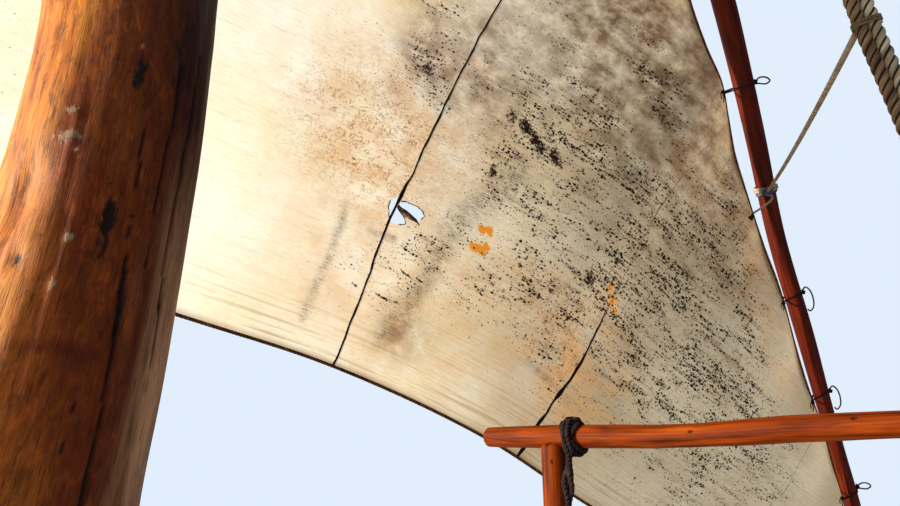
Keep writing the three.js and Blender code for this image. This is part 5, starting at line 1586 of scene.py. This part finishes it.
SLING_MIDDLE, SLING_WAY, SLING_AFT, SLING_PORT = yard_frame_at(SLING_AT)
BECKET = SLING_MIDDLE + SLING_WAY * 0.020 - SLING_AFT * 0.060 - SLING_PORT * 0.096
SLING_RADIUS = 0.0080
# Widths over the turns, and their numbers
SLING_TURNS = (0.096, 6)
WOOLDING_TURNS = (0.112, 10)
END_TURNS = (0.072, 7)


def build_ties():
    """Halyard ties from the masthead to the sling's becket."""
    x, y = mast_axis(PIN_HEIGHT)
    for side, name in ((1, "fore"), (-1, "aft")):
        top = np.array([x + side * SHEAVE_SPREAD, y + HALYARD_TURN, PIN_HEIGHT])
        aim = BECKET + np.array([side * 0.016, 0, 0])
        foot = aim + unit(top - aim) * 0.012
        bend = top - UP * 0.06 + unit(foot - top) * 0.04
        shape = Shape()
        path = catmull([top + UP * 0.004, top - UP * 0.035, bend, (top + foot) / 2, foot], 0.006)
        rope(shape, path, HALYARD_RADIUS * 0.97, 0.006, 15)
        tie = shape.piece(f"tie_{name}_rope", None, [MANILA])
        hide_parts(f"halyard_tie_{name}")
        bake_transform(tie)


def build_sling():
    shape = Shape()
    width, count = SLING_TURNS
    rope(shape, yard_turns(SLING_AT, width, SLING_RADIUS, count, 1.2), SLING_RADIUS, 0.005)
    knot = trefoil(BECKET, 0.026, [SLING_WAY, SLING_AFT, SLING_PORT], 0.8)
    rope(shape, knot, 0.0125, 0.005, 15, closed=True)
    shape.piece("sling_rope", YARD, [MANILA_OLD], ["halyard_sling"])


def add_turns(shape, at, width, count):
    size = width / count / 2 * 0.98
    rope(shape, yard_turns(at, width - 2 * size, size, count, 0.5), size, 0.0055, 9)
    return size


def build_wooldings():
    for n, at in enumerate(WOOLDINGS):
        shape = Shape()
        add_turns(shape, at, *WOOLDING_TURNS)
        shape.piece(f"yard_woolding_{n + 1}_rope", YARD, [TARRED], [f"yard_woolding_{n + 1}"])


def build_end_lashings():
    """Turns round the yard at the sail's tack and peak, each with four strands to the sail's corner."""
    ends = [("tack", LUFF[0] - 0.090, 0.0, SAIL_FIRST), ("peak", LUFF[1] + 0.140, 1.0, 1.0)]
    for name, at, share, first in ends:
        shape = Shape()
        size = add_turns(shape, at, *END_TURNS)
        band_at = on_yard(at, spar_circles(at)[-1][2] + size, 0.0)[0]
        middle = (luff_point(share)[0] + band_at) / 2
        for n in range(4):
            sway = SLING_PORT * 0.012 * math.cos(n * 2.1)
            strand = catmull([sail_point(first, 1.0), middle + sway, band_at + sway * 0.5], 0.005)
            rope(shape, strand, 0.004, 0.004, 9)
        shape.piece(f"{name}_lashing_rope", YARD, [TARRED], [f"{name}_lashing"])


build_falls()
build_ties()
build_sling()
build_wooldings()
build_end_lashings()


# Guy
def fall_at(side, height):
    _, down = fall_path(side)
    row = nearest(down[:, 2], height)
    return down[row], unit(down[row - 1] - down[row + 1])


_, GUY_WAY, GUY_AFT, _ = yard_frame_at(GUY_AT)
GUY_CROOK, GUY_SPAR_RADIUS = columns_at(LOWER_SPAR, GUY_AT, 1, 2)
GUY_SPAR = on_yard(GUY_AT, 0.0, GUY_CROOK)[0]
GUY_FALL, FALL_WAY = fall_at(-1, SEIZING_HEIGHT)
GUY_OUT = unit(GUY_FALL - GUY_SPAR)
GUY_SIDE = unit(GUY_OUT - GUY_WAY * GUY_OUT.dot(GUY_WAY))
GUY_KNOT = GUY_SPAR + GUY_SIDE * (GUY_SPAR_RADIUS + 0.014)
GUY_RADIUS = 0.0066
GUY_SAG = 0.014


def build_guy():
    """Guy from its hitch on the yard to the aft fall."""
    start, end = GUY_KNOT + GUY_OUT * 0.012, GUY_FALL - GUY_OUT * (FALL_RADIUS + 0.004)
    share = np.linspace(0, 1, 60)[:, None]
    shape = Shape()
    path = start + (end - start) * share - UP * GUY_SAG * 4 * share * (1 - share)
    rope(shape, path, GUY_RADIUS, 0.0035)
    guy = shape.piece("guy_rope", None, [WHITE_CORD])
    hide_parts("yard_guy")
    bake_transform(guy)


def build_seizing():
    """Cord turns that hold the two falls together where the guy ends."""
    across = fall_at(1, SEIZING_HEIGHT)[0] - GUY_FALL
    side = unit(across - FALL_WAY * across.dot(FALL_WAY))
    circles = [(gap, 0, FALL_RADIUS + 0.0012) for gap in (0, float(across.dot(side)))]
    turns = ring_path(GUY_FALL, side, np.cross(FALL_WAY, side), circles, 0.0, 3.0, FALL_WAY * 0.012)
    shape = Shape()
    cord(shape, turns, 0.0017, 0.004)
    shape.piece("seizing_cord", ROOT, [MANILA_OLD], ["guy_seizing"])


def build_hitch():
    """Hitch on the yard: pale rope turns, a knot of blue-grey cord and a tail to an eyelet in the luff."""
    facing = [unit(np.cross(GUY_SIDE, GUY_WAY)), GUY_WAY, GUY_SIDE]
    shape = Shape()
    rope(shape, yard_turns(GUY_AT + 0.006, 0.022, GUY_RADIUS, 2, 2.6), GUY_RADIUS, 0.0035)
    rope(shape, yard_turns(GUY_AT - 0.012, 0.010, 0.0036, 3, 0.4), 0.0036, 0.003, 9, 1)
    rope(shape, trefoil(GUY_KNOT, 0.019, facing, 0.9), 0.0074, 0.0035, 12, 1, closed=True)
    second = GUY_KNOT + GUY_OUT * 0.010 + GUY_WAY * 0.004
    rope(shape, trefoil(second, 0.011, facing[::-1], 1.0), 0.0050, 0.0035, 12, 1, closed=True)
    eyelet = luff_at(GUY_AT - 0.085) + GUY_AFT * 0.030
    edge = luff_at(GUY_AT - 0.075)
    bottom = on_yard(GUY_AT - 0.035, 0.036, -0.022)[0]
    tail = [GUY_SPAR + GUY_SIDE * 0.042 - GUY_WAY * 0.004, bottom, (bottom + edge) / 2 - UP * 0.006]
    tail += [edge + GUY_SIDE * 0.008, eyelet + GUY_SIDE * 0.006]
    rope(shape, catmull(tail, 0.004), 0.0056, 0.0035)
    thin = [edge + GUY_SIDE * 0.008, edge + GUY_AFT * 0.014 + GUY_SIDE * 0.012, eyelet + GUY_SIDE * 0.004]
    cord(shape, catmull(thin, 0.003), 0.0044, 0.003, number=2)
    rope(shape, trefoil(eyelet + GUY_SIDE * 0.004, 0.010, facing, 0.8), 0.0040, 0.003, 9, 2, closed=True)
    shape.piece("hitch_rope", YARD, [WHITE_CORD, BLUE_CORD, TARRED], ["guy_hitch"])


build_guy()
build_seizing()
build_hitch()


# Masthead sheaves, parrel, cringle and base timbers
def build_sheaves():
    x, y = mast_axis(PIN_HEIGHT)
    boss = [(0.0115, 0.019), (0.026, 0.019), (0.026, 0.0202), (0.0115, 0.0202)]
    for side, name, body in ((1, "sheave_fore", "fore_sheave"), (-1, "sheave_aft", "aft_sheave")):
        shape = Shape()
        centre = (x + side * SHEAVE_SPREAD, y, PIN_HEIGHT)
        lathe(shape, centre, (1, 0, 0), (0, 1, 0), SHEAVE_PROFILE, 72)
        lathe(shape, centre, (side, 0, 0), (0, 1, 0), boss, 48, 1)
        shape.piece(f"{name}_wheel", body, [HARDWOOD, IRON], [name], 30)


BEAD = 0.021
BEADS = 12
PARREL_ROPE = 0.0085
CHOCK_RADIUS = 0.020
CHOCK_FLARE = 0.010


def build_parrel():
    """Wooden beads on a rope round the mast, with the chock that bears on the sling."""
    shape = Shape()
    height = float(SLING_MIDDLE[2])
    low, centre, high = (np.array([*mast_axis(height + d), height + d]) for d in (-0.05, 0, 0.05))
    rake = unit(high - low)
    east = unit(np.array([1.0, 0, 0]) - rake * rake[0])
    north = np.cross(rake, east)
    reach = float(np.interp(height, *np.array(MAST_SECTIONS).T[[0, 3]])) + 0.004 + BEAD
    path = centre + reach * turned(east, north, np.linspace(0, TAU, 120))
    rope(shape, path, PARREL_ROPE, 0.006, number=1, closed=True)
    round_part = [(BEAD * math.cos(slope), BEAD * math.sin(slope)) for slope in np.linspace(-1.15, 1.15, 13)]
    profile = [(0.007, -BEAD * 0.92), *round_part, (0.007, BEAD * 0.92)]
    for n in range(BEADS):
        turn = TAU * (n + 0.37) / BEADS
        out, way = turned(east, north, turn), turned(east, north, turn + TAU / 4)
        lathe(shape, centre + out * reach, way, rake, profile, 24)
    end = SLING_MIDDLE - SLING_PORT * (float(smooth_at(LOWER_SPAR, SLING_AT, 2)) + 0.0172) - centre
    start = unit(end) * reach
    share = with_ends(0.0, 1.0, 0.05, 0.004)
    radii = CHOCK_RADIUS + CHOCK_FLARE * share
    pole(shape, centre + start + (end - start) * share[:, None], radii, 341, 28, 0.02)
    shape.piece("parrel_beads", YARD, [HARDWOOD, MANILA_OLD], ["parrel"], 30)


RING_RADIUS = 0.032
RING_THICKNESS = 0.007
RING_TURNS = 6
TURN_RADIUS = 0.0092
TURN_CORD = 0.0024


def build_cringle():
    """Iron ring at the clew, held by turns of cord."""
    clew = sail_point(1.0, 0.0)
    out = unit(clew - sail_point(0.98, 0.02))
    normal = sail_normal(np.array([1.0]), np.array([0.0]))[0]
    centre = clew + out * 0.0444
    side = unit(np.cross(normal, out))
    angle = np.linspace(0, TAU, 97)
    shape = Shape()
    ring = centre + RING_RADIUS * turned(out, side, angle)
    sweep(shape, ring[:-1], np.full(16, RING_THICKNESS), closed=True)
    for n in range(RING_TURNS):
        reach = turned(out, side, TAU / 2 + (n - (RING_TURNS - 1) / 2) * 0.22)
        wrap = centre + RING_RADIUS * reach + TURN_RADIUS * turned(reach, normal, angle)
        rope(shape, wrap, TURN_CORD, 0.002, 9, 1, closed=True)
    shape.piece("clew_ring", YARD, [IRON, TARRED], ["clew_cringle"], 30)


def build_bolts():
    """Iron drift bolts that fasten the step and the beam to the keelson, and spikes in the mast's chocks."""
    shape = Shape()
    head = [(0.0001, 0.0), (0.014, 0.0), (0.014, 0.0015), (0.011, 0.0045), (0.006, 0.006), (0.0001, 0.0065)]
    at = [(x, y, 0.2203) for x in (-0.19, 0.235) for y in (-0.15, -0.05, 0.05, 0.15)]
    at += [(x, y, BEAM_TOP) for y in (-0.06, 0.06) for x in (1.41, 1.49)]
    along = (-0.42, -0.30, 0.36, 0.60, 0.84, 1.08, 1.28, 1.62, 1.72)
    at += [(x, 0.05 if round(x * 100) % 4 else -0.05, 0.12) for x in along]
    for place in at:
        lathe(shape, place, UP, (1, 0, 0), head, 20)
    shape.piece("drift_bolts", ROOT, [IRON], crease=30)


build_sheaves()
build_parrel()
build_cringle()
build_bolts()

FINISHES = {name: TIMBER for name in ("keelson", "mast_step", *(f"mast_chock_{n}" for n in range(1, 5)))}
FINISHES |= {"fore_beam": BEAM_TIMBER, "masthead_pin": IRON}
for name, material in FINISHES.items():
    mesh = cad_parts[name].data
    mesh.materials.clear()
    mesh.materials.append(material)

# Camera
right = turned((1, 0, 0), (0, 1, 0), HEADING - TAU / 4)
ahead = turned((1, 0, 0), (0, 1, 0), HEADING)
camera_data = bpy.data.cameras.new("camera")
camera_data.lens = LENS
camera_data.sensor_width = SENSOR
camera_data.clip_start = 0.02
camera_data.clip_end = 200.0
camera = link("camera", camera_data)
turn = Matrix(np.stack([right, turned(UP, -ahead, PITCH), -turned(ahead, UP, PITCH)], axis=-1))
camera.matrix_world = Matrix.Translation(Vector(EYE)) @ turn.to_4x4()
bpy.context.scene.camera = camera

# Stage
FLOOR_RADIUS = 9.5
FLOOR_SIDES = 96
floor_ring = FLOOR_RADIUS * turned((1, 0, 0), (0, 1, 0), TAU * np.arange(FLOOR_SIDES) / FLOOR_SIDES)
floor_mesh = bpy.data.meshes.new("floor")
floor_mesh.from_pydata((floor_ring - UP * 0.002).tolist(), [], [list(range(FLOOR_SIDES))])
floor_mesh.materials.append(floor_material())
link("floor", floor_mesh)

# Low sun from the port quarter, behind the sail; it reaches the mast below the sail's foot
SUN_HEADING = math.radians(144)
SUN_HEIGHT = math.radians(6.5)
toward_sun = turned(turned((1, 0, 0), (0, 1, 0), SUN_HEADING), UP, SUN_HEIGHT)
sun_data = bpy.data.lights.new("sun", "SUN")
sun_data.energy = 10.4
sun_data.angle = math.radians(3.0)
sun_data.color = (1.0, 0.90, 0.74)
sun = link("sun", sun_data)
sun.rotation_mode = "QUATERNION"
sun.rotation_quaternion = Vector(toward_sun).to_track_quat("Z", "Y")

# Sky: plain where the camera sees it, and brighter and warmer towards the sun where it lights the rig
world = bpy.data.worlds.new("sky")
bpy.context.scene.world = world
world.use_nodes = True
sky = Nodes(world.node_tree)
lighting = sky.tree.nodes["Background"]
way = sky.put("ShaderNodeTexCoord", output="Generated")
sunward = sky.put("ShaderNodeVectorMath", {0: way, 1: toward_sun.tolist()}, "Value", operation="DOT_PRODUCT")
warmth = sunward.spread(-1.0, 1.0)
sky.give(lighting.inputs["Color"], sky.ramp(warmth, (0.3, 196, 216, 250), (0.8, 250, 240, 222)))
sky.give(lighting.inputs["Strength"], warmth.spread(0.25, 1.0, 0.30, 1.5))
plain = sky.put("ShaderNodeBackground", {"Color": (226, 238, 252), "Strength": 1.0})
seen = sky.put("ShaderNodeLightPath", output="Is Camera Ray")
either = sky.put("ShaderNodeMixShader", {0: seen, 1: Value(sky, lighting.outputs[0]), 2: plain})
sky.give(sky.tree.nodes["World Output"].inputs["Surface"], either)
bpy.context.scene.view_settings.view_transform = "Standard"
